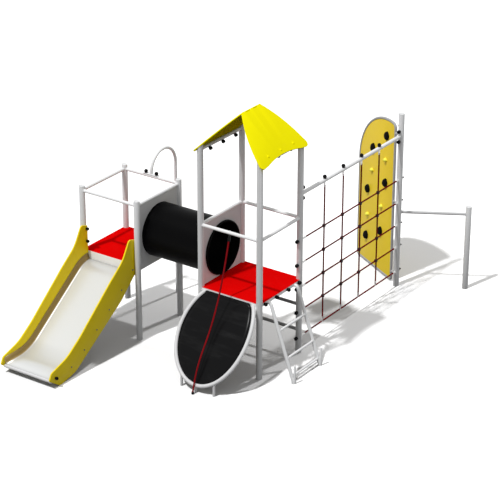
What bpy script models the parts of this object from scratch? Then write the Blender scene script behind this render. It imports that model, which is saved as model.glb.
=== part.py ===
import bpy
import bmesh
from math import asin, atan2, ceil, cos, pi, radians, sin, sqrt, tan
from mathutils import Matrix, Vector

# Metres, +Z up. The origin is under the slide tower's front left post, and X runs along the tower fronts.
GAP = 0.0003
SINK = 0.002

POST_R = 0.038
POST_SIDES = 24
POST_RIM = 0.004
POST_DISH = 0.006
TOWER_WIDTH = 0.845
TUNNEL_SPAN = 0.956
TOWER_POST_TOP = 1.861
FAR_POST_TOP = 2.400
FAR_POST_HEADS = (2.230, 2.375)
OUTER_POST_TOP = 1.157
NET_SPAN = 2.303
BAR_SPAN = 0.900
BAR_ANGLE = radians(30)
WALL_ANGLE = radians(150)

RAIL_R = 0.021
RAIL_Z = 1.800
BAR_R = 0.019
BAR_Z = 1.050
BACK_RUNGS = {'low': 0.310, 'high': 0.650}

DECK_TOP = 1.000
DECK_PLATE = 0.010
DECK_EDGE = 0.0265
DECK_BEAM = 0.040
DECK_BEAM_H = 0.036
DECK_BAYS = (3, 2)
EDGE_BOLT_DOWN = 0.0245
EDGE_BOLTS = (-0.360, -0.123, 0.123, 0.360)
SLIDE_DECK_FRONT = 0.016

PANEL_T = 0.018
PANEL_BOTTOM = 0.930
TUNNEL_R = 0.340
TUNNEL_WALL = 0.010
TUNNEL_Z = 1.350
TUNNEL_PROUD = 0.026
TUNNEL_SIDES = 40

ROOF_T = 0.015
ROOF_PEAK = 3.226
ROOF_RIDGE_HALF = 0.180
ROOF_EAVE_OVERHANG = 0.0824
ROOF_SIDE_OVERHANG = 0.0645
ROOF_EAVE_RISE = 0.064
ROOF_EDGE_BOW = 0.050
ROOF_CORNER = 0.045
ROOF_FINGERS = 5
ROOF_BOLT_PITCH = 0.255
RIDGE_LEG = 0.040
RIDGE_T = 0.003
RIDGE_HALF = 0.150

SLIDE_T = 0.020
BED_TOP = 0.893
BED_END_Y = -1.615
BED_END_Z = 0.116
BED_KNEE_HIGH = (-0.130, 0.880)
BED_KNEE_LOW = (-1.190, 0.132)
CHUTE_CORNER = 0.045
CHUTE_WALL = 0.085
CHUTE_T = 0.0025
LIP_R = 0.022
SIDE_TOP_BALLS = ((-0.012, 1.135), (-0.012, 1.302))
SIDE_FOOT_BALL = (-1.568, 0.129)
SIDE_TOP_HEAD = (-0.058, 0.960)
SIDE_HEADS_Y = -0.285
SIDE_HEADS_PITCH = 0.2465
SIDE_HEADS_Z = (0.774, 0.610, 0.440, 0.272, 0.148)
RISER_T = 0.003

RAMP_TUBE_R = 0.024
RAMP_SIDE_OVERHANG = 0.0565
RAMP_HALF_L = 0.656
RAMP_TOP_Z = 0.955
RAMP_FOOT = (-0.705, 0.092)
RAMP_BOW = 0.042
RAMP_PANEL_T = 0.010
RAMP_STEPS = 30
RAMP_LIP_Z = 0.985
RAMP_LIP_IN = 0.034
RAMP_PANEL_START = 0.030
RAMP_LEG_R = 0.017
RAMP_LEG_X = 0.236

ROPE_R = 0.009
CLIMB_ROPE_R = 0.011
CLIMB_ROPE_TOP = 0.103
CLIMB_ROPE_CLEAR = 0.022
CLIMB_ROPE_DROP = (-0.354, -1.376)
CLIMB_ROPE_RISE = (0.158, 0.629)
CLIMB_ROPE_STEPS = 34
ANCHOR_R = 0.0165
ANCHOR_H = 0.030

LADDER_R = 0.021
LADDER_RUNG_R = 0.015
LADDER_TOP_DOWN = 0.030
LADDER_TOP_X = 0.065
LADDER_FOOT_X = 0.394
LADDER_HALF = 0.285
LADDER_BEND = 0.050
LADDER_STUB_R = 0.017
LADDER_STUB_TOP = 0.240
LADDER_STUB_OUT = 0.028
LADDER_RUNGS = (0.085, 0.300, 0.630)

NET_RAIL_R = 0.024
NET_RAIL_Z = 2.100
NET_RAIL_BOLT = 0.068
NET_TOP = 2.020
NET_TOP_ROW = 1.500
NET_FOOT = 0.270
NET_LOW = 0.204
NET_PITCH_Z = 0.3155
NET_PITCH_Y = 0.416
NET_ROWS = 4
NET_COLS = 4
NET_FIT_NEAR = 0.088
NET_FIT_FAR = 0.042
NET_WEAVE = 0.003
FERRULE_R = 0.012
KNOT_R = 0.0235
KNOT_T = 0.034

WALL_TUBE_R = 0.017
WALL_INNER = 0.140
WALL_OUTER = 1.065
WALL_SPRING = 1.430
WALL_CREST = 2.207
WALL_CREST_AT = 0.260
WALL_FOOT = 0.030
WALL_CORNER = 0.026
WALL_PANEL_T = 0.018
WALL_TIES = (0.150, 1.150, 2.090)
WALL_TIE_R = 0.011
BIG_HOLD = (0.042, 0.058, 0.050)
SMALL_HOLD = (0.030, 0.026, 0.042)
BIG_HOLDS = ((0.822, 0.396), (0.440, 0.607), (0.810, 1.069), (0.340, 1.328), (0.690, 1.695), (0.334, 1.982))
SMALL_HOLDS = ((0.800, 0.707), (0.435, 0.960), (0.712, 1.370), (0.358, 1.641))

POLE_R = 0.020
POLE_BEND = 0.2505
POLE_STRAIGHT = 0.010
SADDLE_HALF = 0.115
SADDLE_WIDE = 0.048
SADDLE_T = 0.006
SADDLE_BALLS = 0.081
BALL_R = 0.0215
BALL = ((0, 0.041), (0.014, 0.036), (BALL_R, 0.021), (0.0195, 0.009), (0.011, 0), (0, 0))
HEAD = ((0, 0.010), (0.008, 0.007), (0.010, 0), (0, 0))
NUT = ((0, 0.018), (0.007, 0.016), (0.0105, 0.010), (0.0105, 0), (0, 0))
SCREW_HEAD = ((0, 0.008), (0.012, 0.006), (0.016, 0), (0, 0))

X_MAIN = TOWER_WIDTH + TUNNEL_SPAN
X_END = X_MAIN + TOWER_WIDTH
X_MID = X_MAIN + TOWER_WIDTH / 2
MID = TOWER_WIDTH / 2
Y_FAR = TOWER_WIDTH + NET_SPAN
X = Vector((1, 0, 0))
Y = Vector((0, 1, 0))
Z = Vector((0, 0, 1))
FAR = Vector((X_END, Y_FAR, 0))
OUTER = FAR + Vector((cos(BAR_ANGLE), sin(BAR_ANGLE), 0)) * BAR_SPAN
WALL_DIR = Vector((cos(WALL_ANGLE), sin(WALL_ANGLE), 0))
WALL_OUT = Z.cross(WALL_DIR)
CORNERS = {
    'front_left': (0, 0),
    'front_right': (TOWER_WIDTH, 0),
    'back_left': (0, TOWER_WIDTH),
    'back_right': (TOWER_WIDTH, TOWER_WIDTH),
}

GREY = (0.56, 0.57, 0.58)
PALE = (0.78, 0.79, 0.80)
BLACK = (0.012, 0.012, 0.013)
YELLOW = (0.95, 0.78, 0.02)
RED = (0.72, 0.006, 0.006)
MAROON = (0.14, 0.008, 0.012)
STEEL = (0.66, 0.67, 0.68)
BED_STEEL = (0.80, 0.81, 0.83)
WHITE = (0.86, 0.87, 0.87)
BOARD_GREY = (0.20, 0.205, 0.21)
WALL_YELLOW = (0.93, 0.70, 0.04)
HOLD_YELLOW = (0.98, 0.90, 0.06)

for old in list(bpy.data.objects):
    bpy.data.objects.remove(old, do_unlink=True)
parts = bpy.data.collections.new('climbing_playset')
helpers = bpy.data.collections.new('cutters')
for group in (parts, helpers):
    bpy.context.scene.collection.children.link(group)


# Shapes. Each starts as a helper, and part() makes it a named piece.
def place(obj, origin=(0, 0, 0), axis=Z):
    obj.location = origin
    obj.rotation_mode = 'QUATERNION'
    obj.rotation_quaternion = Z.rotation_difference(Vector(axis))
    obj.hide_render = True
    obj.display_type = 'WIRE'
    helpers.objects.link(obj)
    return obj


def smooth(mesh):
    mesh.shade_smooth()
    mesh.set_sharp_from_angle(angle=radians(40))
    return mesh


def mesh_object(bm, origin=(0, 0, 0), axis=Z):
    mesh = bpy.data.meshes.new('shape')
    bm.to_mesh(mesh)
    bm.free()
    smooth(mesh)
    return place(bpy.data.objects.new('shape', mesh), origin, axis)


def rod(start, end, radius, sides=16):
    start = Vector(start)
    end = Vector(end)
    bm = bmesh.new()
    length = (end - start).length
    bmesh.ops.create_cone(bm, cap_ends=True, segments=sides, radius1=radius, radius2=radius, depth=length)
    return mesh_object(bm, (start + end) / 2, end - start)


def block(low, high):
    bm = bmesh.new()
    bmesh.ops.create_cube(bm, size=1)
    size = Vector(high) - Vector(low)
    bmesh.ops.scale(bm, vec=size, verts=bm.verts)
    return mesh_object(bm, (Vector(low) + Vector(high)) / 2)


def turned(profile, sides, origin, axis=Z):
    mesh = bpy.data.meshes.new('profile')
    mesh.from_pydata([(r, 0, h) for r, h in profile], [(i, i + 1) for i in range(len(profile) - 1)], [])
    obj = place(bpy.data.objects.new('turned', mesh), origin, axis)
    mod = obj.modifiers.new('turn', 'SCREW')
    mod.steps = sides
    mod.render_steps = sides
    mod.use_merge_vertices = True
    mod.merge_threshold = 0.00001
    return obj


def as_mesh(obj):
    bpy.context.view_layer.update()
    graph = bpy.context.evaluated_depsgraph_get()
    mesh = bpy.data.meshes.new_from_object(obj.evaluated_get(graph))
    bm = bmesh.new()
    bm.from_mesh(mesh)
    bmesh.ops.remove_doubles(bm, verts=bm.verts, dist=0.00002)
    bmesh.ops.recalc_face_normals(bm, faces=bm.faces)
    bm.to_mesh(mesh)
    bm.free()
    made = bpy.data.objects.new('shape', smooth(mesh))
    place(made)
    made.matrix_world = obj.matrix_world.copy()
    bpy.data.objects.remove(obj, do_unlink=True)
    return made


def path_curve(points, cyclic=False, flat=False):
    curve = bpy.data.curves.new('path', 'CURVE')
    curve.dimensions = '2D' if flat else '3D'
    spline = curve.splines.new('POLY')
    spline.points.add(len(points) - 1)
    for slot, p in zip(spline.points, points):
        slot.co = (*p, 1) if len(p) == 3 else (*p, 0, 1)
    spline.use_cyclic_u = cyclic
    return curve


def tube(points, radius, sides=12, cyclic=False):
    curve = path_curve(points, cyclic)
    curve.bevel_depth = radius
    curve.bevel_resolution = (sides - 4) // 2
    curve.use_fill_caps = True
    return as_mesh(place(bpy.data.objects.new('tube', curve)))


def slab(outline, thickness, origin, across, up):
    across = Vector(across).normalized()
    up = Vector(up).normalized()
    curve = path_curve(outline, True, True)
    curve.fill_mode = 'BOTH'
    curve.extrude = thickness / 2
    obj = place(bpy.data.objects.new('slab', curve))
    turn = Matrix((across, up, across.cross(up))).transposed()
    obj.matrix_world = Matrix.Translation(origin) @ turn.to_4x4()
    return as_mesh(obj)


def boolean(obj, others, operation):
    group = bpy.data.collections.new(operation.lower())
    helpers.children.link(group)
    for other in others:
        group.objects.link(other)
    mod = obj.modifiers.new(operation.lower(), 'BOOLEAN')
    mod.operation = operation
    mod.operand_type = 'COLLECTION'
    mod.collection = group
    return obj


def join(obj, others):
    return boolean(obj, others, 'UNION')


def cut(obj, *others):
    return boolean(obj, others, 'DIFFERENCE')


def part(name, obj, colour, metal=0.0, rough=0.5):
    helpers.objects.unlink(obj)
    parts.objects.link(obj)
    obj.name = name
    obj.data.name = name
    obj.hide_render = False
    obj.display_type = 'TEXTURED'
    mat = bpy.data.materials.new(name)
    mat.use_nodes = True
    shader = mat.node_tree.nodes['Principled BSDF']
    shader.inputs['Base Color'].default_value = (*colour, 1)
    shader.inputs['Metallic'].default_value = metal
    shader.inputs['Roughness'].default_value = rough
    obj.data.materials.clear()
    obj.data.materials.append(mat)
    return obj


def rounded(points, step=radians(15)):
    out = []
    for i, (x, y, r) in enumerate(points):
        here = Vector((x, y))
        if not r:
            out.append(here)
            continue
        back = (Vector(points[i - 1][:2]) - here).normalized()
        ahead = (Vector(points[(i + 1) % len(points)][:2]) - here).normalized()
        half = back.angle(ahead) / 2
        centre = here + (back + ahead).normalized() * (r / sin(half))
        a = here + back * (r / tan(half)) - centre
        b = here + ahead * (r / tan(half)) - centre
        first = atan2(a.y, a.x)
        swing = (atan2(b.y, b.x) - first + pi) % (2 * pi) - pi
        count = max(1, ceil(abs(swing) / step - 1e-6))
        for k in range(count + 1):
            t = first + swing * k / count
            out.append(centre + Vector((cos(t), sin(t))) * r)
    return out


def ball(point, axis):
    axis = Vector(axis).normalized()
    return turned(BALL, 8, Vector(point) - axis * SINK, axis)


def head(point, axis, profile=HEAD):
    axis = Vector(axis).normalized()
    return turned(profile, 8, Vector(point) - axis * SINK, axis)


# Posts
reach = POST_R + GAP
feet = [(x0 + x, y) for x0 in (0, X_MAIN) for x, y in CORNERS.values()] + [FAR.xy, OUTER.xy]
poles = [rod((*foot, -0.1), (*foot, ROOF_PEAK + 0.1), reach, POST_SIDES) for foot in feet]
post_cutter = join(poles[0], poles[1:])
post_cutter = as_mesh(post_cutter)


def round_post(foot, top):
    dish = POST_R - POST_RIM
    profile = ((0, top - POST_DISH), (dish, top - POST_DISH), (dish, top), (POST_R, top), (POST_R, 0), (0, 0))
    return turned(profile, POST_SIDES, (*foot, 0))


def roof_under(x):
    return ROOF_PEAK - ROOF_T * sqrt(2) - abs(x - X_MID)


def roof_post(foot):
    post = rod((*foot, 0), (*foot, roof_under(foot[0])), POST_R, POST_SIDES)
    for vert in post.data.vertices:
        if vert.co.z > 0:
            x = post.location.x + vert.co.x
            vert.co.z = roof_under(x) - GAP * sqrt(2) - post.location.z
    return post


rows_z = [NET_TOP_ROW - NET_PITCH_Z * i for i in range(NET_ROWS)]
rope_rows = rows_z + [NET_LOW]
rail_bolts = (NET_RAIL_Z - NET_RAIL_BOLT, NET_RAIL_Z + NET_RAIL_BOLT)
for corner, foot in CORNERS.items():
    part('slide_post_' + corner, round_post(foot, TOWER_POST_TOP), GREY, 0.2, 0.45)
    foot = (X_MAIN + foot[0], foot[1])
    post = roof_post(foot)
    if corner == 'back_right':
        bolts = []
        for z in rope_rows:
            bolts.append(ball(Vector((*foot, z)) - Y * POST_R, -Y))
        for z in rail_bolts:
            bolts.append(ball(Vector((*foot, z)) + Y * POST_R, Y))
        join(post, bolts)
    part('main_post_' + corner, post, GREY, 0.2, 0.45)
bolts = [head(FAR + Y * POST_R + Z * z, Y, NUT) for z in rope_rows]
bolts += [ball(FAR - Y * POST_R + Z * z, -Y) for z in rail_bolts]
bolts += [head(FAR - X * POST_R + Z * z, -X) for z in FAR_POST_HEADS]
part('far_post', join(round_post(FAR.xy, FAR_POST_TOP), bolts), GREY, 0.2, 0.45)
part('outer_post', round_post(OUTER.xy, OUTER_POST_TOP), GREY, 0.2, 0.45)

# Rails and rungs between the posts
SIDES = {
    'front': ('front_left', 'front_right'),
    'back': ('back_left', 'back_right'),
    'left': ('front_left', 'back_left'),
    'right': ('front_right', 'back_right'),
}
for tower, x0 in (('slide', 0), ('main', X_MAIN)):
    for side, ends in SIDES.items():
        a, b = [Vector((x0 + CORNERS[end][0], CORNERS[end][1], RAIL_Z)) for end in ends]
        rail = rod(a, b, RAIL_R)
        if (tower, side) == ('main', 'front'):
            join(rail, [head((a + b) / 2 + Z * RAIL_R, Z)])
        part(tower + '_rail_' + side, cut(rail, post_cutter), PALE, 0.2, 0.4)
for level, z in BACK_RUNGS.items():
    rung = rod((X_MAIN, TOWER_WIDTH, z), (X_END, TOWER_WIDTH, z), RAIL_R)
    part('main_back_rung_' + level, cut(rung, post_cutter), GREY, 0.2, 0.45)
bar = rod(FAR + Z * BAR_Z, OUTER + Z * BAR_Z, BAR_R)
part('turning_bar', cut(bar, post_cutter), STEEL, 0.7, 0.35)

# Decks
back_edge = TOWER_WIDTH + DECK_EDGE
beam_top = DECK_TOP - DECK_PLATE - GAP
beam_low = beam_top - DECK_BEAM_H


def deck(tower, low_x, high_x, low_y, bolts=()):
    plate = block((low_x, low_y, DECK_TOP - DECK_PLATE), (high_x, back_edge, DECK_TOP))
    part(tower + '_deck', cut(plate, post_cutter), RED, 0.0, 0.42)
    frame = block((low_x, low_y, beam_low), (high_x, back_edge, beam_top))
    if bolts:
        join(frame, bolts)
    pockets = []
    bays_x, bays_y = DECK_BAYS
    pitch_x = (high_x - low_x - DECK_BEAM) / bays_x
    pitch_y = (back_edge - low_y - DECK_BEAM) / bays_y
    for i in range(bays_x):
        for j in range(bays_y):
            x = low_x + pitch_x * i
            y = low_y + pitch_y * j
            low = (x + DECK_BEAM, y + DECK_BEAM, beam_low - 0.01)
            pockets.append(block(low, (x + pitch_x, y + pitch_y, beam_top + 0.01)))
    cut(frame, *pockets)
    part(tower + '_deck_frame', cut(frame, post_cutter), PALE, 0.2, 0.45)


panel_half = PANEL_T / 2
deck('slide', -DECK_EDGE, TOWER_WIDTH - panel_half - 2 * GAP, SLIDE_DECK_FRONT)
bolt_z = DECK_TOP - EDGE_BOLT_DOWN
edge_bolts = [ball((X_END + DECK_EDGE, MID + y, bolt_z), X) for y in EDGE_BOLTS]
deck('main', X_MAIN + panel_half + 2 * GAP, X_END + DECK_EDGE, -DECK_EDGE, edge_bolts)

# Tunnel and its two panels
tunnel_low = TOWER_WIDTH - panel_half - TUNNEL_PROUD
tunnel_high = X_MAIN + panel_half + TUNNEL_PROUD
tunnel_ends = [(x, MID, TUNNEL_Z) for x in (tunnel_low - 0.1, tunnel_high + 0.1)]
tunnel_cutter = rod(*tunnel_ends, TUNNEL_R + GAP, TUNNEL_SIDES)
for tower, x in (('slide', TOWER_WIDTH), ('main', X_MAIN)):
    low = (x - panel_half, reach, PANEL_BOTTOM)
    panel = block(low, (x + panel_half, TOWER_WIDTH - reach, RAIL_Z - RAIL_R - GAP))
    part('tunnel_panel_' + tower, cut(panel, tunnel_cutter), BOARD_GREY, 0.0, 0.5)
length = tunnel_high - tunnel_low
inside = TUNNEL_R - TUNNEL_WALL
wall = ((inside, 0), (inside, length), (TUNNEL_R, length), (TUNNEL_R, 0), (inside, 0))
part('tunnel_tube', turned(wall, TUNNEL_SIDES, (tunnel_low, MID, TUNNEL_Z), X), BLACK, 0.0, 0.4)


# Roof: two sheets at 45 degrees, finger jointed along the ridge
def bow(a, b, rise, count=8):
    a = Vector(a)
    b = Vector(b)
    side = Vector((a.y - b.y, b.x - a.x)).normalized()
    points = [a.lerp(b, k / count) + side * (rise * 4 * k / count * (1 - k / count)) for k in range(1, count)]
    return [(p.x, p.y, 0) for p in points]


def roof_outline(first_finger):
    ridge = ROOF_RIDGE_HALF
    eave = MID + ROOF_SIDE_OVERHANG
    slope = (MID + ROOF_EAVE_OVERHANG) * sqrt(2)
    flat = 2 * ROOF_CORNER
    outline = bow((0, -ridge), (slope, -eave), -ROOF_EDGE_BOW)
    outline.append((slope, -eave, ROOF_CORNER))
    outline += bow((slope, -eave + flat), (slope, eave - flat), ROOF_EAVE_RISE)
    outline.append((slope, eave, ROOF_CORNER))
    outline += bow((slope, eave), (0, ridge), -ROOF_EDGE_BOW)
    tooth = 2 * ridge / ROOF_FINGERS
    root = ROOF_T + GAP
    for i in range(ROOF_FINGERS):
        far = ridge - tooth * i
        tip = 0 if i % 2 == first_finger else root
        slack = 0.0005 if tip == 0 else -0.0005
        high = far - (slack if i else 0)
        low = far - tooth + (slack if i < ROOF_FINGERS - 1 else 0)
        outline += [(tip, high, 0), (tip, low, 0)]
    return rounded(outline, radians(22))


beam_z = roof_under(X_END) - (RAIL_R + GAP) * sqrt(2) - GAP
screw_rows = [MID + ROOF_BOLT_PITCH * i for i in (-1, 0, 1)]
for side, sign, x in (('right', 1, X_END), ('left', -1, X_MAIN)):
    down = Vector((sign, 0, -1)).normalized()
    out = Vector((sign, 0, 1)).normalized()
    centre = Vector((X_MID, MID, ROOF_PEAK)) - out * (ROOF_T / 2)
    sheet = slab(roof_outline(sign < 0), ROOF_T, centre, down, Y)
    face = ROOF_PEAK - MID
    join(sheet, [head((x, y, face), out, SCREW_HEAD) for y in screw_rows])
    part('roof_sheet_' + side, sheet, YELLOW, 0.0, 0.4)
    beam = rod((x, 0, beam_z), (x, TOWER_WIDTH, beam_z), RAIL_R)
    inward = Vector((-sign, 0, -1)).normalized()
    join(beam, [ball(Vector((x, y, beam_z)) + inward * RAIL_R, inward) for y in screw_rows])
    part('roof_beam_' + side, cut(beam, post_cutter), GREY, 0.2, 0.45)
fold = RIDGE_T * sqrt(2)
tip = RIDGE_LEG
vee = [(0, 0), (-tip, -tip), (-tip + fold / 2, -tip - fold / 2), (0, -fold)]
vee += [(tip - fold / 2, -tip - fold / 2), (tip, -tip)]
ridge_z = ROOF_PEAK - (ROOF_T + GAP) * sqrt(2)
ridge = slab(vee, 2 * RIDGE_HALF, (X_MID, MID, ridge_z), X, Z)
part('roof_ridge_angle', ridge, GREY, 0.2, 0.45)

# Slide
side_in = reach + SLIDE_T
SIDE_OUTLINE = (
    (0.012, 1.335, 0),
    (-0.105, 1.374, 0.045),
    (-0.240, 1.145, 0.40),
    (-0.500, 0.950, 0.60),
    (-1.100, 0.460, 0.60),
    (-1.340, 0.300, 0.50),
    (-1.635, 0.212, 0.045),
    (-1.680, 0.125, 0.030),
    (-1.500, 0.000, 0.020),
    (-1.430, 0.000, 0.080),
    (-1.190, 0.052, 0.300),
    (-0.300, 0.625, 0.500),
    (0.012, 0.905, 0),
)
side_outline = rounded(SIDE_OUTLINE, radians(14))
for side, x, inward in (('left', reach, X), ('right', TOWER_WIDTH - reach, -X)):
    centre = Vector((x, 0, 0)) + inward * (SLIDE_T / 2)
    panel = slab(side_outline, SLIDE_T, centre, Y, Z)
    face = Vector((x, 0, 0))
    bolts = [ball(face + inward * SLIDE_T + Vector((0, *at)), inward) for at in SIDE_TOP_BALLS]
    bolts.append(ball(face + Vector((0, *SIDE_FOOT_BALL)), -inward))
    bolts.append(head(face + Vector((0, *SIDE_TOP_HEAD)), -inward))
    for i, z in enumerate(SIDE_HEADS_Z):
        bolts.append(head(face + Vector((0, SIDE_HEADS_Y - SIDE_HEADS_PITCH * i, z)), -inward))
    part('slide_side_' + side, join(panel, bolts), YELLOW, 0.0, 0.42)

bed = rounded([
    (SLIDE_DECK_FRONT - 0.0038, BED_TOP, 0),
    (*BED_KNEE_HIGH, 0.35),
    (*BED_KNEE_LOW, 0.60),
    (BED_END_Y, BED_END_Z, 0),
], radians(7))
half_w = MID - side_in - GAP


def trough():
    edge = half_w - CHUTE_T
    left = [Vector((-edge, CHUTE_WALL))]
    for k in range(5):
        a = pi / 2 * k / 4
        left.append(Vector((-edge + CHUTE_CORNER * (1 - cos(a)), CHUTE_CORNER * (1 - sin(a)))))
    return left + [Vector((-p.x, p.y)) for p in reversed(left)]


section = trough()
bm = bmesh.new()
bmesh.ops.create_grid(bm, x_segments=len(section) - 1, y_segments=len(bed) - 1, size=1)
bm.verts.ensure_lookup_table()
for i, vert in enumerate(bm.verts):
    row, column = divmod(i, len(section))
    point = bed[row]
    along = (bed[min(row + 1, len(bed) - 1)] - bed[max(row - 1, 0)]).normalized()
    if row == 0:
        along = Vector((-1, 0))
    across, lift = section[column]
    vert.co = (MID + across, point.x + along.y * lift, point.y - along.x * lift)
chute = mesh_object(bm)
shell = chute.modifiers.new('sheet', 'SOLIDIFY')
shell.thickness = CHUTE_T
shell.offset = 1
shell.use_even_offset = True
part('slide_chute', chute, BED_STEEL, 0.9, 0.28)
lip_z = BED_END_Z - CHUTE_T - GAP - LIP_R
lip = rod((side_in + GAP, BED_END_Y, lip_z), (TOWER_WIDTH - side_in - GAP, BED_END_Y, lip_z), LIP_R)
part('slide_lip', lip, WHITE, 0.6, 0.3)
low = (side_in + GAP, SLIDE_DECK_FRONT - GAP - RISER_T, BED_TOP - 0.040)
riser = block(low, (TOWER_WIDTH - side_in - GAP, SLIDE_DECK_FRONT - GAP, DECK_TOP - 0.002))
part('slide_riser', riser, PALE, 0.3, 0.35)

# Ramp climber: a bowed panel in an elliptical tube frame, cut off at the deck
deck_face = -DECK_EDGE - GAP
ramp_top = Vector((deck_face, RAMP_TOP_Z))
chord = Vector(RAMP_FOOT) - ramp_top
chord_dir = chord.normalized()
chord_up = Vector((chord_dir.y, -chord_dir.x))
ramp_half_w = MID + RAMP_SIDE_OVERHANG
ramp_centre = chord.length - RAMP_HALF_L


def ramp_point(along, across, lift=0.0):
    t = along / chord.length
    rise = RAMP_BOW * 4 * t * (1 - t)
    slope = RAMP_BOW * 4 * (1 - 2 * t) / chord.length
    up = (chord_up - chord_dir * slope).normalized()
    p = ramp_top + chord_dir * along + chord_up * rise + up * lift
    return Vector((X_MID + across, p.x, p.y))


def ellipse(shrink, first):
    for k in range(RAMP_STEPS + 1):
        a = -first + (pi + 2 * first) * k / RAMP_STEPS
        yield ramp_centre + (RAMP_HALF_L - shrink) * sin(a), (ramp_half_w - shrink) * cos(a)


deck_block = block((X_MAIN - 0.2, deck_face, DECK_TOP - 0.2), (X_END + 0.2, MID, DECK_TOP + 0.2))
cut_angle = asin(ramp_centre / RAMP_HALF_L)
centreline = [ramp_point(s, x) for s, x in ellipse(0, cut_angle + 0.10)]
frame = tube(centreline, RAMP_TUBE_R)
legs = []
for x in (-RAMP_LEG_X, 0, RAMP_LEG_X):
    along = ramp_centre + RAMP_HALF_L * sqrt(1 - (x / ramp_half_w) ** 2)
    top = ramp_point(along, x)
    legs.append(rod((top.x, top.y, 0), top, RAMP_LEG_R, 12))
cut(join(frame, legs), deck_block)
part('ramp_frame', frame, WHITE, 0.1, 0.35)

half_ellipse = list(ellipse(RAMP_TUBE_R / 2, cut_angle))[:RAMP_STEPS // 2]
rows = []
for along, across in half_ellipse:
    along = max(along, RAMP_PANEL_START)
    rows.append((ramp_point(along, -across), ramp_point(along, across)))
lip_half = half_ellipse[0][1] - RAMP_LIP_IN
lip_y = deck_face - RAMP_PANEL_T / 2 - 3 * GAP
rows.insert(0, [Vector((X_MID + x, lip_y, RAMP_LIP_Z)) for x in (-lip_half, lip_half)])
bm = bmesh.new()
bmesh.ops.create_grid(bm, x_segments=1, y_segments=len(rows) - 1, size=1)
bm.verts.ensure_lookup_table()
for i, vert in enumerate(bm.verts):
    row, column = divmod(i, 2)
    vert.co = rows[row][column]
panel = mesh_object(bm)
shell = panel.modifiers.new('sheet', 'SOLIDIFY')
shell.thickness = RAMP_PANEL_T
shell.offset = 0
cut(panel, tube(centreline, RAMP_TUBE_R + GAP))
part('ramp_panel', panel, BLACK, 0.0, 0.12)

# Climbing rope: slack, from a ferrule bolted to the front rail to an anchor just in front of the ramp's foot
rope_top = Vector((X_MID, 0, RAIL_Z))
foot_y = ramp_point(chord.length, 0).y - RAMP_TUBE_R - CLIMB_ROPE_R - CLIMB_ROPE_CLEAR
rope_foot = Vector((X_MID, foot_y, ANCHOR_H - SINK))
drop = rope_top + Vector((0, *CLIMB_ROPE_DROP))
rise = rope_foot + Vector((0, *CLIMB_ROPE_RISE))
rope_dir = (drop - rope_top).normalized()
ferrule_end = rope_top + rope_dir * CLIMB_ROPE_TOP
rail_cutter = rod(rope_top - X * 0.3, rope_top + X * 0.3, RAIL_R + GAP)
ferrule = rod(rope_top, ferrule_end, CLIMB_ROPE_R + 0.003, 12)
part('rope_ferrule', cut(ferrule, rail_cutter), BLACK, 0.0, 0.5)
anchor_profile = ((0, ANCHOR_H), (0.014, ANCHOR_H), (ANCHOR_R, 0.024), (ANCHOR_R, 0), (0, 0))
part('rope_anchor', turned(anchor_profile, 14, (X_MID, foot_y, 0)), BLACK, 0.0, 0.6)
ground = block((X_MID - 0.2, foot_y - 0.3, -0.3), (X_MID + 0.2, foot_y + 0.3, ANCHOR_H + GAP))
path = []
for k in range(CLIMB_ROPE_STEPS + 1):
    t = k / CLIMB_ROPE_STEPS
    s = 1 - t
    point = (ferrule_end + rope_dir * GAP) * s ** 3 + drop * (3 * s * s * t)
    path.append(point + rise * (3 * s * t * t) + rope_foot * t ** 3)
part('climbing_rope', cut(tube(path, CLIMB_ROPE_R), ground), MAROON, 0.0, 0.85)

# Ladder: one welding of two bent legs, two upright feet and three rungs
face_x = X_END + DECK_EDGE + GAP
foot_x = X_END + LADDER_FOOT_X
top = Vector((X_END + LADDER_TOP_X, MID, DECK_TOP - LADDER_TOP_DOWN))
lean = Vector((foot_x - top.x, 0, -top.z)).normalized()
bend = rounded([(face_x, top.z, 0), (top.x, top.z, LADDER_BEND), (foot_x, 0, 0)], radians(18))
bend[-1] = bend[-1] + lean.xz * 0.03
sides = []
for side in (-LADDER_HALF, LADDER_HALF):
    sides.append(tube([(p.x, MID + side, p.y) for p in bend], LADDER_R))
welded = []
for side in (-LADDER_HALF, LADDER_HALF):
    foot = Vector((foot_x + LADDER_STUB_OUT, MID + side, 0))
    welded.append(rod(foot - Z * 0.02, foot + Z * LADDER_STUB_TOP, LADDER_STUB_R, 12))
for z in LADDER_RUNGS:
    x = foot_x + lean.x / lean.z * z
    welded.append(rod((x, MID - LADDER_HALF, z), (x, MID + LADDER_HALF, z), LADDER_RUNG_R, 12))
below = block((X_END, -0.2, -0.3), (foot_x + 0.3, TOWER_WIDTH + 0.2, 0))
part('ladder', cut(join(sides[0], sides[1:] + welded), below), PALE, 0.2, 0.4)

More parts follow.
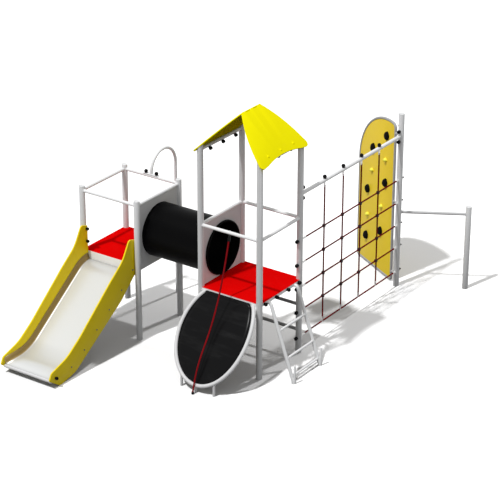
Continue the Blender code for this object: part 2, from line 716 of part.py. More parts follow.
# Net
net_mid = TOWER_WIDTH + NET_SPAN / 2
columns = [net_mid + NET_PITCH_Y * (i - (NET_COLS - 1) / 2) for i in range(NET_COLS)]
rail = rod((X_END, TOWER_WIDTH, NET_RAIL_Z), (X_END, Y_FAR, NET_RAIL_Z), NET_RAIL_R)
join(rail, [ball((X_END, y, NET_RAIL_Z + NET_RAIL_R), Z) for y in columns])
part('net_rail', cut(rail, post_cutter), PALE, 0.2, 0.4)
rail_cutter = rod((X_END, TOWER_WIDTH, NET_RAIL_Z), (X_END, Y_FAR, NET_RAIL_Z), NET_RAIL_R + GAP)
near = TOWER_WIDTH + POST_R + NET_FIT_NEAR
far = Y_FAR - POST_R - NET_FIT_FAR
front = X_END + NET_WEAVE
back = X_END - NET_WEAVE
pieces = []
for y in columns:
    pieces.append(rod((front, y, NET_LOW), (front, y, NET_TOP + 0.02), ROPE_R, 8))
    pieces.append(rod((X_END, y, NET_TOP), (X_END, y, NET_RAIL_Z), FERRULE_R, 10))
    pieces.append(rod((X_END, y, NET_LOW), (X_END, y, NET_FOOT), FERRULE_R, 10))
    for z in rows_z:
        pieces.append(rod((X_END - KNOT_T / 2, y, z), (X_END + KNOT_T / 2, y, z), KNOT_R, 12))
for z in rope_rows:
    pieces.append(rod((back, near - 0.02, z), (back, far + 0.02, z), ROPE_R, 8))
    for a, b in ((TOWER_WIDTH, near), (far, Y_FAR)):
        pieces.append(rod((X_END, a, z), (X_END, b, z), FERRULE_R, 10))
net = join(pieces[0], pieces[1:])
part('climbing_net', cut(net, post_cutter, rail_cutter), MAROON, 0.0, 0.85)


# Climbing wall
def on_wall(along, z, lift=0.0):
    return FAR + WALL_DIR * along + Z * z + WALL_OUT * lift


def wall_outline(d):
    low = WALL_FOOT + d
    outer = WALL_OUTER - d
    inner = WALL_INNER + d
    corner = max(WALL_CORNER - d, 0.008)
    points = [(inner, low, corner), (outer, low, corner)]
    for k in range(11):
        a = pi / 2 * k / 10
        wide = outer - WALL_CREST_AT
        high = WALL_CREST - d - WALL_SPRING
        points.append((WALL_CREST_AT + wide * cos(a), WALL_SPRING + high * sin(a), 0))
    points.append((inner, WALL_CREST - d - 0.008, 0.060 - d))
    return rounded(points, radians(22))


frame = tube([on_wall(p.x, p.y) for p in wall_outline(0)], WALL_TUBE_R, cyclic=True)
ties = [rod(on_wall(0, z), on_wall(WALL_INNER, z), WALL_TIE_R, 10) for z in WALL_TIES]
part('wall_frame', cut(join(frame, ties), post_cutter), GREY, 0.2, 0.45)
panel = slab(wall_outline(WALL_TUBE_R + 2 * GAP), WALL_PANEL_T, FAR, WALL_DIR, Z)
part('wall_panel', panel, WALL_YELLOW, 0.0, 0.45)


def hold(along, z, size):
    wide, high, proud = size
    bm = bmesh.new()
    bmesh.ops.create_uvsphere(bm, u_segments=12, v_segments=8, radius=1)
    bmesh.ops.bisect_plane(bm, geom=bm.verts[:] + bm.edges[:] + bm.faces[:], plane_co=(0, 0, 0),
                           plane_no=(0, 0, 1), clear_inner=True)
    bmesh.ops.holes_fill(bm, edges=bm.edges)
    bmesh.ops.scale(bm, vec=(high, wide, proud), verts=bm.verts)
    face = on_wall(along, z, WALL_PANEL_T / 2 + GAP)
    obj = mesh_object(bm, face)
    turn = Matrix((Z, WALL_OUT.cross(Z), WALL_OUT)).transposed()
    obj.rotation_quaternion = turn.to_quaternion()
    return obj


for i, (along, z) in enumerate(BIG_HOLDS):
    part('wall_hold_black_%d' % (i + 1), hold(along, z, BIG_HOLD), BLACK, 0.0, 0.6)
for i, (along, z) in enumerate(SMALL_HOLDS):
    part('wall_hold_yellow_%d' % (i + 1), hold(along, z, SMALL_HOLD), HOLD_YELLOW, 0.0, 0.4)

# Hook pole, bolted to the slide tower's back rail through a saddle plate
saddle_z = RAIL_Z + RAIL_R + GAP
seat_z = saddle_z + SADDLE_T
low = (MID - SADDLE_HALF, TOWER_WIDTH - SADDLE_WIDE / 2, saddle_z)
saddle = block(low, (MID + SADDLE_HALF, TOWER_WIDTH + SADDLE_WIDE / 2, seat_z))
bend = Vector((MID, TOWER_WIDTH + POLE_BEND, seat_z + POLE_STRAIGHT))
path = [Vector((MID, TOWER_WIDTH, seat_z - SINK))]
for k in range(13):
    a = pi - pi * k / 12
    path.append(bend + Y * (POLE_BEND * cos(a)) + Z * (POLE_BEND * sin(a)))
path.append(Vector((MID, TOWER_WIDTH + 2 * POLE_BEND, 0)))
pole = tube(path, POLE_R)
bolts = [ball((MID + x, TOWER_WIDTH, seat_z), Z) for x in (-SADDLE_BALLS, SADDLE_BALLS)]
part('hook_pole', join(pole, [saddle] + bolts), PALE, 0.2, 0.4)
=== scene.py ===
import bpy
import bmesh
from math import asin, atan2, ceil, cos, pi, radians, sin, sqrt, tan
from mathutils import Matrix, Vector


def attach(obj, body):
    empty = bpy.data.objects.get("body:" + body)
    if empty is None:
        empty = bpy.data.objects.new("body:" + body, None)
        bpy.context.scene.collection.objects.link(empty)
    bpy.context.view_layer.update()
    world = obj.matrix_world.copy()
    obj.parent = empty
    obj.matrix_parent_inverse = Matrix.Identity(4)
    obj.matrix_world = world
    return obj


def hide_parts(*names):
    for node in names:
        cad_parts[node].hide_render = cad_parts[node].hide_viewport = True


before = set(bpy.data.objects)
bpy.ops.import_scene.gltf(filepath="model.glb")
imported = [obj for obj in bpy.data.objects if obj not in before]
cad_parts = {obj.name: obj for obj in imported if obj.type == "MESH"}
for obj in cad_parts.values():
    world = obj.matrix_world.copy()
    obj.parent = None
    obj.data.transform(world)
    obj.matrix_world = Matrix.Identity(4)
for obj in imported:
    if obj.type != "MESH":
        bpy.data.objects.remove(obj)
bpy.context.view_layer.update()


def vec(x, y, z):
    return Vector((x, y, z))


xAxis = vec(1, 0, 0)
yAxis = vec(0, 1, 0)
zAxis = vec(0, 0, 1)

# the plan of the frame: post centres, in metres on the ground
plan = {'tower': 0.845, 'tunnel': 0.956, 'net': 2.303, 'bar': 0.900, 'barTurn': 30, 'wallTurn': 150}
bay = plan['tower']
xMain = bay + plan['tunnel']
xEnd = xMain + bay
mid = bay / 2
xMid = xMain + mid
farFoot = vec(xEnd, bay + plan['net'], 0)
barTurn = radians(plan['barTurn'])
outerFoot = farFoot + vec(cos(barTurn), sin(barTurn), 0) * plan['bar']
wallTurn = radians(plan['wallTurn'])
wallAlong = vec(cos(wallTurn), sin(wallTurn), 0)
wallOut = zAxis.cross(wallAlong)
corners = {
    'front_left': vec(0, 0, 0), 'front_right': vec(bay, 0, 0), 'back_left': vec(0, bay, 0),
    'back_right': vec(bay, bay, 0),
}
gap = 0.0003  # clearance between pieces that touch


def linked(name, data):
    obj = bpy.data.objects.new(name, data)
    bpy.context.scene.collection.objects.link(obj)
    return obj


# node trees: sockets that Python arithmetic works on, and one method that adds any node
class Sock:
    def __init__(self, owner, link):
        self.owner = owner
        self.link = link

    def __add__(self, other):
        return self.owner.math('ADD', self, other)

    def __radd__(self, other):
        return self.owner.math('ADD', other, self)

    def __sub__(self, other):
        return self.owner.math('SUBTRACT', self, other)

    def __rsub__(self, other):
        return self.owner.math('SUBTRACT', other, self)

    def __mul__(self, other):
        return self.owner.math('MULTIPLY', self, other)

    def __rmul__(self, other):
        return self.owner.math('MULTIPLY', other, self)

    def __truediv__(self, other):
        return self.owner.math('DIVIDE', self, other)

    def output(self, label):
        return Sock(self.owner, self.link.node.outputs[label])


class NodeTree:
    def __init__(self, tree):
        self.tree = tree
        tree.nodes.clear()

    def node(self, kind, settings=None, out=0, **values):
        made = self.tree.nodes.new(kind)
        for key, value in (settings or {}).items():
            setattr(made, key, value)
        for key, value in values.items():
            sockets = [s for s in made.inputs if s.enabled and s.name.replace(' ', '') == key]
            socket = sockets[0] if sockets else made.inputs[int(key[1:])]
            if isinstance(value, Sock):
                self.tree.links.new(value.link, socket)
            else:
                socket.default_value = value
        return Sock(self, made.outputs[out]) if len(made.outputs) else None

    def math(self, operation, a, b=0.0):
        return self.node('ShaderNodeMath', {'operation': operation}, i0=a, i1=b)


class Shader(NodeTree):
    def __init__(self, name):
        self.material = bpy.data.materials.new(name)
        self.material.use_nodes = True
        super().__init__(self.material.node_tree)
        self.coords = self.node('ShaderNodeTexCoord', out='Object')  # patterns stay put on the pieces

    def clamp(self, value, low=0.0, high=1.0):
        return self.node('ShaderNodeClamp', Value=value, Min=low, Max=high)

    def noise(self, scale, detail=3.0, roughness=0.5, stretch=None):
        coords = self.coords
        if stretch:
            coords = self.node('ShaderNodeMapping', Vector=coords, Scale=stretch)
        return self.node('ShaderNodeTexNoise', out='Fac', Vector=coords, Scale=scale, Detail=detail,
                         Roughness=roughness)

    def along(self, letter, vector=None):
        return self.node('ShaderNodeSeparateXYZ', out=letter, Vector=vector or self.coords)

    def facing(self, letter):
        return self.along(letter, self.node('ShaderNodeNewGeometry', out='Normal'))

    def mix(self, amount, a, b):
        a = a if isinstance(a, Sock) else (*a, 1)
        b = b if isinstance(b, Sock) else (*b, 1)
        return self.node('ShaderNodeMix', {'data_type': 'RGBA'}, 2, Factor=amount, A=a, B=b)

    def clouded(self, cloud, colour, low, high, start=0.0, gain=1.0):
        return self.mix(self.clamp((cloud - start) * gain), tinted(colour, low), tinted(colour, high))

    def bump(self, height, strength, distance):
        return self.node('ShaderNodeBump', Height=height, Strength=strength, Distance=distance)

    def finish(self, tone, roughness, normal, metal=0.0, shine=0.5):
        surface = self.node('ShaderNodeBsdfPrincipled', BaseColor=tone, Metallic=metal, Roughness=roughness,
                            Normal=normal, SpecularIORLevel=shine)
        self.node('ShaderNodeOutputMaterial', Surface=surface)
        return self.material


def tinted(colour, amount):
    return tuple(min(1, c * amount) for c in colour)


# finishes
def powderCoat(name, colour, rough=0.42, shine=0.22):
    s = Shader(name)
    cloud = s.noise(1.7, 4, 0.6)
    grime = s.clamp(1 - s.along('Z') / 0.35) * s.noise(14, 5, 0.65) * 0.14
    base = s.clouded(cloud, colour, 0.97, 1.05, 0.35, 2.0)
    tone = s.mix(s.clamp(grime), base, tinted(colour, 0.62))
    roughness = s.clamp(rough + (cloud - 0.5) * 0.16 + grime * 0.5, 0.2, 0.9)
    return s.finish(tone, roughness, s.bump(s.noise(420, 2), 0.16, 0.0006), shine=shine)


def boardPlastic(name, colour, rough, wear, shine=0.15, paintedUnderShade=1):
    s = Shader(name)
    cloud = s.noise(2.3, 4, 0.6)
    scuff = s.clamp((s.noise(9, 6, 0.7, (1, 1, 6)) - 0.60) * 5) * wear
    base = s.clouded(cloud, colour, 0.95, 1.03, 0.3, 1.8)
    # faces that point down are darkened: painted shade on the undersides
    if paintedUnderShade < 1:
        base = s.mix(s.clamp(s.facing('Z') * -3), base, tinted(colour, paintedUnderShade))
    tone = s.mix(scuff, base, tuple(0.5 + c * 0.4 for c in colour))
    roughness = s.clamp(rough + (cloud - 0.5) * 0.2 + scuff * 0.8, 0.2, 0.9)
    return s.finish(tone, roughness, s.bump(s.noise(260, 3, 0.6), 0.22, 0.0007), shine=shine)


def deckBoard(name, colour, edgeTone):
    s = Shader(name)
    studs = s.node('ShaderNodeTexVoronoi', {'feature': 'F1'}, 'Distance', Vector=s.coords, Scale=115,
                   Randomness=0.0)
    raised = s.clamp((0.36 - studs) * 8)
    dust = s.clamp((s.noise(6, 6, 0.7) - 0.52) * 3) * 0.012
    base = s.mix(dust, s.clouded(s.noise(3.1, 4, 0.6), colour, 0.92, 1, 0.3, 1.8), (0.55, 0.36, 0.33))
    # faces that do not point up, the plate's edges and underside, take the pale edge tone
    tone = s.mix(s.clamp(1 - s.facing('Z') * 2.5), base, edgeTone)
    return s.finish(tone, s.clamp(0.46 + dust + raised * 0.06), s.bump(raised, 0.28, 0.0008), shine=0.0)


def brushedSteel(name, colour, rough, metal=1.0):
    s = Shader(name)
    lines = s.noise(90, 3, 0.6, (4, 4, 4))
    cloud = s.noise(2.0, 4, 0.6)
    roughness = s.clamp(rough + (lines - 0.5) * 0.12 + (cloud - 0.5) * 0.1, 0.08, 0.8)
    return s.finish(s.clouded(cloud, colour, 0.94, 1), roughness, s.bump(lines, 0.06, 0.0004), metal)


def chuteSteel(name, colour, wall):
    s = Shader(name)
    lines = s.noise(90, 3, 0.6, (14, 0.7, 0.7))
    # the upright side walls take the wall colour: a painted reflection of the yellow side boards, with
    # painted shade
    paintedWallReflection = s.clamp((s.math('ABSOLUTE', s.facing('X')) - 0.30) * 4)
    tone = s.mix(paintedWallReflection, s.clouded(s.noise(2.0, 4, 0.6), colour, 0.96, 1), wall)
    roughness = s.clamp(0.34 + (lines - 0.5) * 0.10 + paintedWallReflection * 0.15, 0.08, 0.8)
    return s.finish(tone, roughness, s.bump(lines, 0.05, 0.0004), 0.35)


def laminate(name, colour):
    s = Shader(name)
    # lighter streaks: their rougher surface is smudging, their lighter colour is a painted reflection
    smearAndSheen = s.clamp((s.noise(3.4, 6, 0.66, (0.6, 3, 3)) - 0.5) * 3)
    tone = s.mix(smearAndSheen * 0.35, colour, tuple(0.030 + c for c in colour))
    normal = s.bump(s.noise(5, 3, 0.5, (1, 3, 3)), 0.10, 0.002)
    return s.finish(tone, s.clamp(0.20 + smearAndSheen * 0.16), normal, shine=0.07)


def mouldedPlastic(name, colour, rough=0.45, grain=320, depth=0.0008, shine=0.12):
    s = Shader(name)
    cloud = s.noise(4, 4, 0.6)
    normal = s.bump(s.noise(grain, 4, 0.65), 0.35, depth)
    tone = s.clouded(cloud, colour, 0.85, 1.15)
    return s.finish(tone, s.clamp(rough + (cloud - 0.5) * 0.2), normal, shine=shine)


def ropeYarn(name, colour):
    s = Shader(name)
    cloud = s.noise(12, 5, 0.7)
    tone = s.clouded(cloud, colour, 0.75, 1.3, 0.3, 1.6)
    return s.finish(tone, s.clamp(0.78 + cloud * 0.12), s.bump(s.noise(900, 3, 0.7), 0.5, 0.0008), shine=0.1)


# each finish: its slot, its maker, the material's name, the colour and the maker's own values
looks = {
    'grey': ('powder_coat_grey', powderCoat, 'greyPowderCoat', (0.74, 0.745, 0.75)),
    # the back rungs' darker grey is painted shade on the grey powder coat
    'rung': ('powder_coat_grey', powderCoat, 'rungPowderCoat', (0.30, 0.302, 0.305)),
    # the wall hoop's darker grey is painted shade on the grey powder coat
    'hoop': ('powder_coat_grey', powderCoat, 'hoopPowderCoat', (0.40, 0.402, 0.405)),
    'pale': ('powder_coat_pale', powderCoat, 'palePowderCoat', (0.86, 0.865, 0.87), 0.38),
    'white': ('powder_coat_pale', powderCoat, 'whitePowderCoat', (0.69, 0.69, 0.695), 0.34),
    'bar': ('bare_steel', powderCoat, 'barSteel', (0.56, 0.565, 0.57), 0.34, 0.35),
    'steel': ('bare_steel', brushedSteel, 'fittingSteel', (0.66, 0.67, 0.68), 0.34),
    'sleeve': ('bare_steel', brushedSteel, 'sleeveSteel', (0.74, 0.74, 0.74), 0.42, 0.55),
    'bolt': ('bare_steel', brushedSteel, 'boltSteel', (0.10, 0.10, 0.10), 0.45, 0.6),
    # the chute's tan colour goes on its upright walls: a painted reflection of the yellow boards, with
    # painted shade
    'chute': ('chute_steel', chuteSteel, 'chuteSteel', (0.66, 0.67, 0.665), (0.34, 0.235, 0.075)),
    'red': ('red_deck', deckBoard, 'redDeckBoard', (0.72, 0.0015, 0.0015), (0.85, 0.50, 0.50)),
    # the roof's last value darkens its undersides: painted shade
    'roof': ('yellow_board', boardPlastic, 'roofBoard', (1.0, 0.90, 0.004), 0.42, 0.02, 0.0, 0.5),
    'side': ('yellow_board', boardPlastic, 'slideBoard', (0.90, 0.70, 0.008), 0.42, 0.05),
    'wall': ('wall_board', boardPlastic, 'wallBoard', (1.0, 0.72, 0.035), 0.45, 0.08),
    'panel': ('grey_board', boardPlastic, 'greyBoard', (0.62, 0.62, 0.625), 0.5, 0.04),
    'gloss': ('black_gloss', laminate, 'blackLaminate', (0.005, 0.005, 0.0054)),
    'tunnel': ('black_plastic', mouldedPlastic, 'tunnelPlastic', (0.002, 0.002, 0.0022), 0.42, 90, 0.0006,
               0.03),
    'black': ('black_plastic', mouldedPlastic, 'capPlastic', (0.003, 0.003, 0.0033), 0.36, 320, 0.0008,
              0.08),
    'holdBlack': ('black_plastic', mouldedPlastic, 'holdBlack', (0.005, 0.005, 0.005), 0.75, 240, 0.0025,
                  0.05),
    'holdYellow': ('yellow_plastic', mouldedPlastic, 'holdYellow', (1.0, 0.96, 0.10), 0.6, 240, 0.0020, 0.3),
    'knot': ('black_plastic', mouldedPlastic, 'knotPlastic', (0.016, 0.004, 0.005), 0.5),
    'rope': ('red_rope', ropeYarn, 'redRope', (0.165, 0.002, 0.004)),
    'climbRope': ('red_rope', ropeYarn, 'climbingRopeYarn', (0.27, 0.004, 0.008)),
}
finishes = {key: make(*values) for key, (slot, make, *values) in looks.items()}
print('finishes made:', len(finishes))


# pieces: plain meshes at the origin, riding on the one body
def addPiece(name, mesh, finish, nodes=(), bevel=0.0):
    obj = linked(name, mesh)
    if bevel:
        edge = obj.modifiers.new('edge', 'BEVEL')
        edge.width = bevel
        edge.segments = 3
        edge.limit_method = 'ANGLE'
        edge.angle_limit = radians(30)
        mesh = plainMesh(obj)
        obj.modifiers.clear()
        obj.data = mesh
    mesh.materials.clear()
    mesh.materials.append(finishes[finish])
    mesh.shade_smooth()
    mesh.set_sharp_from_angle(angle=radians(38))
    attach(obj, 'root')
    if nodes:
        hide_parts(*nodes)
    return obj


def plainMesh(obj):
    bpy.context.view_layer.update()
    graph = bpy.context.evaluated_depsgraph_get()
    return bpy.data.meshes.new_from_object(obj.evaluated_get(graph))


def joined(meshes):
    bm = bmesh.new()
    for mesh in meshes:
        bm.from_mesh(mesh)
    out = bpy.data.meshes.new('joined')
    bm.to_mesh(out)
    bm.free()
    return out


def bmMesh(bm, merge=0.0):
    if merge:
        bmesh.ops.remove_doubles(bm, verts=bm.verts, dist=merge)
        bmesh.ops.recalc_face_normals(bm, faces=bm.faces)
    mesh = bpy.data.meshes.new('part')
    bm.to_mesh(mesh)
    bm.free()
    return mesh


def turnedMesh(profile, origin=(0, 0, 0), axis=zAxis, steps=48):
    bm = bmesh.new()
    verts = [bm.verts.new((r, 0, h)) for r, h in profile]
    edges = [bm.edges.new(pair) for pair in zip(verts, verts[1:])]
    bmesh.ops.spin(bm, geom=verts + edges, cent=(0, 0, 0), axis=(0, 0, 1), angle=2 * pi, steps=steps,
                   use_merge=True)
    turn = zAxis.rotation_difference(Vector(axis)).to_matrix().to_4x4()
    bm.transform(Matrix.Translation(origin) @ turn)
    return bmMesh(bm, 0.00002)


def rounded(points, step=radians(8)):
    # corners (x, y, radius) become arcs; a corner of radius 0 stays a point
    out = []
    for i, (x, y, r) in enumerate(points):
        here = Vector((x, y))
        if not r:
            out.append(here)
            continue
        back = (Vector(points[i - 1][:2]) - here).normalized()
        ahead = (Vector(points[(i + 1) % len(points)][:2]) - here).normalized()
        half = back.angle(ahead) / 2
        centre = here + (back + ahead).normalized() * (r / sin(half))
        a = here + back * (r / tan(half)) - centre
        b = here + ahead * (r / tan(half)) - centre
        first = atan2(a.y, a.x)
        swing = (atan2(b.y, b.x) - first + pi) % (2 * pi) - pi
        count = max(1, ceil(abs(swing) / step - 1e-6))
        for k in range(count + 1):
            t = first + swing * k / count
            out.append(centre + Vector((cos(t), sin(t))) * r)
    return out


def pathCurve(points, cyclic=False, flat=False):
    curve = bpy.data.curves.new('path', 'CURVE')
    curve.dimensions = '2D' if flat else '3D'
    outlines = points if flat else [points]
    for outline in outlines:
        spline = curve.splines.new('POLY')
        spline.points.add(len(outline) - 1)
        for slot, p in zip(spline.points, outline):
            slot.co = (*p, 1) if len(p) == 3 else (*p, 0, 1)
        spline.use_cyclic_u = cyclic or flat
    return curve


def curveMesh(curve, matrix=Matrix()):
    obj = linked('curve', curve)
    mesh = plainMesh(obj)
    bpy.data.objects.remove(obj, do_unlink=True)
    bm = bmesh.new()
    bm.from_mesh(mesh)
    bm.transform(matrix)
    return bmMesh(bm, 0.00002)


def line(a, b, count):
    return [a.lerp(b, k / count) for k in range(count + 1)]


def tubeMesh(points, radius, cyclic=False, sides=24):
    curve = pathCurve(points, cyclic)
    curve.bevel_depth = radius
    curve.bevel_resolution = (sides - 4) // 2
    curve.use_fill_caps = True
    return curveMesh(curve)


def boardMesh(outlines, thickness, origin, across, up, edge):
    across = Vector(across).normalized()
    up = Vector(up).normalized()
    curve = pathCurve(outlines, flat=True)
    curve.fill_mode = 'BOTH'
    curve.extrude = thickness / 2 - edge
    curve.bevel_depth = edge
    curve.bevel_resolution = 2
    curve.offset = -edge
    turn = Matrix((across, up, across.cross(up))).transposed()
    return curveMesh(curve, Matrix.Translation(origin) @ turn.to_4x4())


def boxMesh(low, high):
    bm = bmesh.new()
    bmesh.ops.create_cube(bm, size=1)
    size = Vector(high) - Vector(low)
    middle = (Vector(high) + Vector(low)) / 2
    bm.transform(Matrix.Translation(middle) @ Matrix.Diagonal((*size, 1)))
    return bmMesh(bm)


# a mesh of edges alone, for the trees that follow a line
def wireMesh(lines, closed=False):
    verts = []
    edges = []
    for row in lines:
        start = len(verts)
        verts += [tuple(p) for p in row]
        count = len(row) if closed else len(row) - 1
        edges += [(start + i, start + (i + 1) % len(row)) for i in range(count)]
    mesh = bpy.data.meshes.new('wires')
    mesh.from_pydata(verts, edges, [])
    return mesh


# Geometry Nodes: a tree with named inputs, run once by a modifier and turned into a plain mesh
class ShapeTree(NodeTree):
    def __init__(self, name, inputs):
        super().__init__(bpy.data.node_groups.new(name, 'GeometryNodeTree'))
        face = self.tree.interface
        face.new_socket('Geometry', in_out='INPUT', socket_type='NodeSocketGeometry')
        face.new_socket('Geometry', in_out='OUTPUT', socket_type='NodeSocketGeometry')
        face.new_socket('Finish', in_out='INPUT', socket_type='NodeSocketMaterial')
        for label, value in inputs.items():
            kind = {int: 'Int', float: 'Float'}.get(type(value), 'Object')
            made = face.new_socket(label, in_out='INPUT', socket_type='NodeSocket' + kind)
            if value is not None:
                made.default_value = value
        self.given = {s.name: Sock(self, s) for s in self.tree.nodes.new('NodeGroupInput').outputs}

    def vector(self, operation, a, b=(0, 0, 0), **more):
        return self.node('ShaderNodeVectorMath', {'operation': operation}, i0=a, i1=b, **more)

    def path(self):
        curve = self.node('GeometryNodeMeshToCurve', Mesh=self.given['Geometry'])
        if 'Step' not in self.given:
            return curve
        step = self.given['Step']
        return self.node('GeometryNodeResampleCurve', {'mode': 'LENGTH'}, Curve=curve, Length=step)

    def end(self, geometry):
        solid = self.node('GeometryNodeRealizeInstances', Geometry=geometry)
        coated = self.node('GeometryNodeSetMaterial', Geometry=solid, Material=self.given['Finish'])
        self.node('NodeGroupOutput', i0=coated)
        return self.tree


def grown(mesh, tree, finish, inputs):
    obj = linked('grown', mesh)
    mod = obj.modifiers.new(tree.name, 'NODES')
    mod.node_group = tree
    values = {'Finish': finishes[finish], **inputs}
    for item in tree.interface.items_tree:
        if item.in_out == 'INPUT' and item.name in values:
            mod[item.identifier] = values[item.name]
    made = plainMesh(obj)
    bpy.data.objects.remove(obj, do_unlink=True)
    return made


def scatterTree():
    t = ShapeTree('scatterOnPoints', {'Template': None, 'Size': 1.0})
    template = t.node('GeometryNodeObjectInfo', {'transform_space': 'ORIGINAL'}, 'Geometry',
                      Object=t.given['Template'])
    axis = t.node('GeometryNodeInputNamedAttribute', {'data_type': 'FLOAT_VECTOR'}, Name='axis')
    turn = t.node('FunctionNodeAlignRotationToVector', {'axis': 'Z'}, Vector=axis)
    return t.end(t.node('GeometryNodeInstanceOnPoints', Points=t.given['Geometry'], Instance=template,
                        Rotation=turn, Scale=t.given['Size']))


def layTree():
    t = ShapeTree('ropeLay', {
        'Strands': 4, 'Strand Radius': 0.003, 'Lay Radius': 0.004, 'Pitch': 0.05, 'Step': 0.006,
    })
    strands = t.given['Strands']
    copies = t.node('GeometryNodeDuplicateElements', {'domain': 'SPLINE'}, Geometry=t.path(), Amount=strands)
    turns = t.node('GeometryNodeSplineParameter', out='Length') / t.given['Pitch']
    angle = (turns + copies.output('Duplicate Index') / strands) * (2 * pi)
    normal = t.node('GeometryNodeInputNormal')
    side = t.vector('CROSS_PRODUCT', t.node('GeometryNodeInputTangent'), normal)
    first = t.vector('SCALE', normal, Scale=t.math('COSINE', angle))
    second = t.vector('SCALE', side, Scale=t.math('SINE', angle))
    offset = t.vector('SCALE', t.vector('ADD', first, second), Scale=t.given['Lay Radius'])
    twisted = t.node('GeometryNodeSetPosition', Geometry=copies, Offset=offset)
    ring = t.node('GeometryNodeCurvePrimitiveCircle', Resolution=6, Radius=t.given['Strand Radius'])
    return t.end(t.node('GeometryNodeCurveToMesh', Curve=twisted, ProfileCurve=ring, FillCaps=True))


def beadTree():
    t = ShapeTree('weldBead', {'Radius': 0.0042, 'Step': 0.0045, 'Ripple': 0.22, 'Wave': 2.2})
    wave = t.math('SINE', t.node('GeometryNodeInputIndex') * t.given['Wave'])
    ring = t.node('GeometryNodeCurvePrimitiveCircle', Resolution=8, Radius=t.given['Radius'])
    return t.end(t.node('GeometryNodeCurveToMesh', Curve=t.path(), ProfileCurve=ring,
                        Scale=wave * t.given['Ripple'] + 1.0))


def troughTree():
    t = ShapeTree('trough', {'Half Width': 0.36, 'Wall': 0.085, 'Corner': 0.045})
    points = {}
    for i, (side, deep) in enumerate(((-1, -1), (-1, 0), (1, 0), (1, -1))):
        points['Point%d' % (i + 1)] = t.node('ShaderNodeCombineXYZ', X=t.given['Half Width'] * side,
                                             Y=t.given['Wall'] * deep)
    section = t.node('GeometryNodeCurvePrimitiveQuadrilateral', {'mode': 'POINTS'}, **points)
    section = t.node('GeometryNodeSetSplineCyclic', Geometry=section, Cyclic=False)
    section = t.node('GeometryNodeFilletCurve', {'mode': 'POLY'}, Curve=section, Radius=t.given['Corner'],
                     Count=10)
    return t.end(t.node('GeometryNodeCurveToMesh', Curve=t.path(), ProfileCurve=section))


scatter = scatterTree()
lay = layTree()
bead = beadTree()
trough = troughTree()
print('node trees built')


def onPoints(template, spots, finish, size=1.0):
    source = bpy.data.objects.new('template', template)
    points = bpy.data.meshes.new('spots')
    points.from_pydata([tuple(p) for p, axis in spots], [], [])
    axes = points.attributes.new('axis', 'FLOAT_VECTOR', 'POINT')
    axes.data.foreach_set('vector', [c for p, axis in spots for c in Vector(axis).normalized()])
    made = grown(points, scatter, finish, {'Template': source, 'Size': size})
    bpy.data.objects.remove(source, do_unlink=True)
    return made


def ropeMesh(paths, finish, strands, radius, pitch, step):
    # the strands are a little thicker than a round fit, so that they press into each other
    strand = radius * sin(pi / strands) / (1 + sin(pi / strands)) * 1.12
    return grown(wireMesh(paths), lay, finish, {
        'Strands': strands, 'Strand Radius': strand, 'Lay Radius': radius - strand, 'Pitch': pitch,
        'Step': step,
    })


def weldLoops(loops, finish, radius=0.0042):
    return grown(wireMesh(loops, True), bead, finish, {'Radius': radius})


def saddleLoop(centre, axis, r, around, count=24):
    # where a rail that runs along axis from the middle of a post leaves the post
    axis = Vector(axis).normalized()
    up = zAxis if abs(axis.z) < 0.5 else xAxis
    side = up.cross(axis).normalized()
    up = axis.cross(side)
    loop = []
    for k in range(count):
        t = 2 * pi * k / count
        across = r * cos(t)
        out = sqrt(around ** 2 - across ** 2)
        loop.append(Vector(centre) + side * across + up * r * sin(t) + axis * out)
    return loop


def cutAway(mesh, point, normal):
    bm = bmesh.new()
    bm.from_mesh(mesh)
    made = bmesh.ops.bisect_plane(bm, geom=bm.verts[:] + bm.edges[:] + bm.faces[:], plane_co=point,
                                  plane_no=normal, clear_outer=True)
    edges = [e for e in made['geom_cut'] if isinstance(e, bmesh.types.BMEdge)]
    bmesh.ops.edgeloop_fill(bm, edges=edges)
    bmesh.ops.recalc_face_normals(bm, faces=bm.faces)
    return bmMesh(bm)


# caps and heads: turned shapes that the scatter tree sets on every bolt
fastener = {'capR': 0.0209, 'capMid': 0.0200, 'capNeck': 0.0128, 'headR': 0.010, 'screwR': 0.0155,
            'nutR': 0.0102}
cap = [(0, 0), (0.0158, 0), (0.0166, 0.0008), (0.0166, 0.0026), (0.0158, 0.0034),
       (fastener['capNeck'], 0.0036)]
neckTurn = pi - asin(fastener['capNeck'] / fastener['capR'])
for k in range(14):
    a = neckTurn * (1 - k / 14)
    r = fastener['capR'] - (0.0007 if k == 9 else 0)
    cap.append((r * sin(a), fastener['capMid'] - r * cos(a)))
cap.append((0, fastener['capMid'] + fastener['capR']))
capShape = turnedMesh(cap, steps=20)
r = fastener['headR']
headShape = turnedMesh([(0, 0.0035), (0.0034, 0.0045), (0.0036, 0.0088), (0.0052, 0.0092), (0.0076, 0.0072),
                        (r * 0.96, 0.0034), (r, 0.0012), (r, 0), (0, 0)], steps=18)
r = fastener['screwR']
screwShape = turnedMesh([(0, 0.0062), (0.004, 0.0064), (0.0046, 0.0074), (0.0072, 0.0078), (0.0115, 0.0060),
                         (r * 0.97, 0.0022), (r, 0.0008), (r, -0.002), (0, -0.002)], steps=24)
r = fastener['nutR']
nutShape = turnedMesh([(0, 0.0162), (0.0040, 0.0160), (0.0072, 0.0142), (0.0086, 0.0112), (0.0088, 0.0086),
                       (r * 0.97, 0.0080), (r, 0.0068), (r, 0.0014), (r * 0.96, 0), (0, 0)], steps=6)


def addCaps(name, spots, size=1.18):
    return addPiece(name, onPoints(capShape, spots, 'black', size), 'black')


def addHeads(name, spots, finish='bolt', shape=headShape):
    return addPiece(name, onPoints(shape, spots, finish), finish)


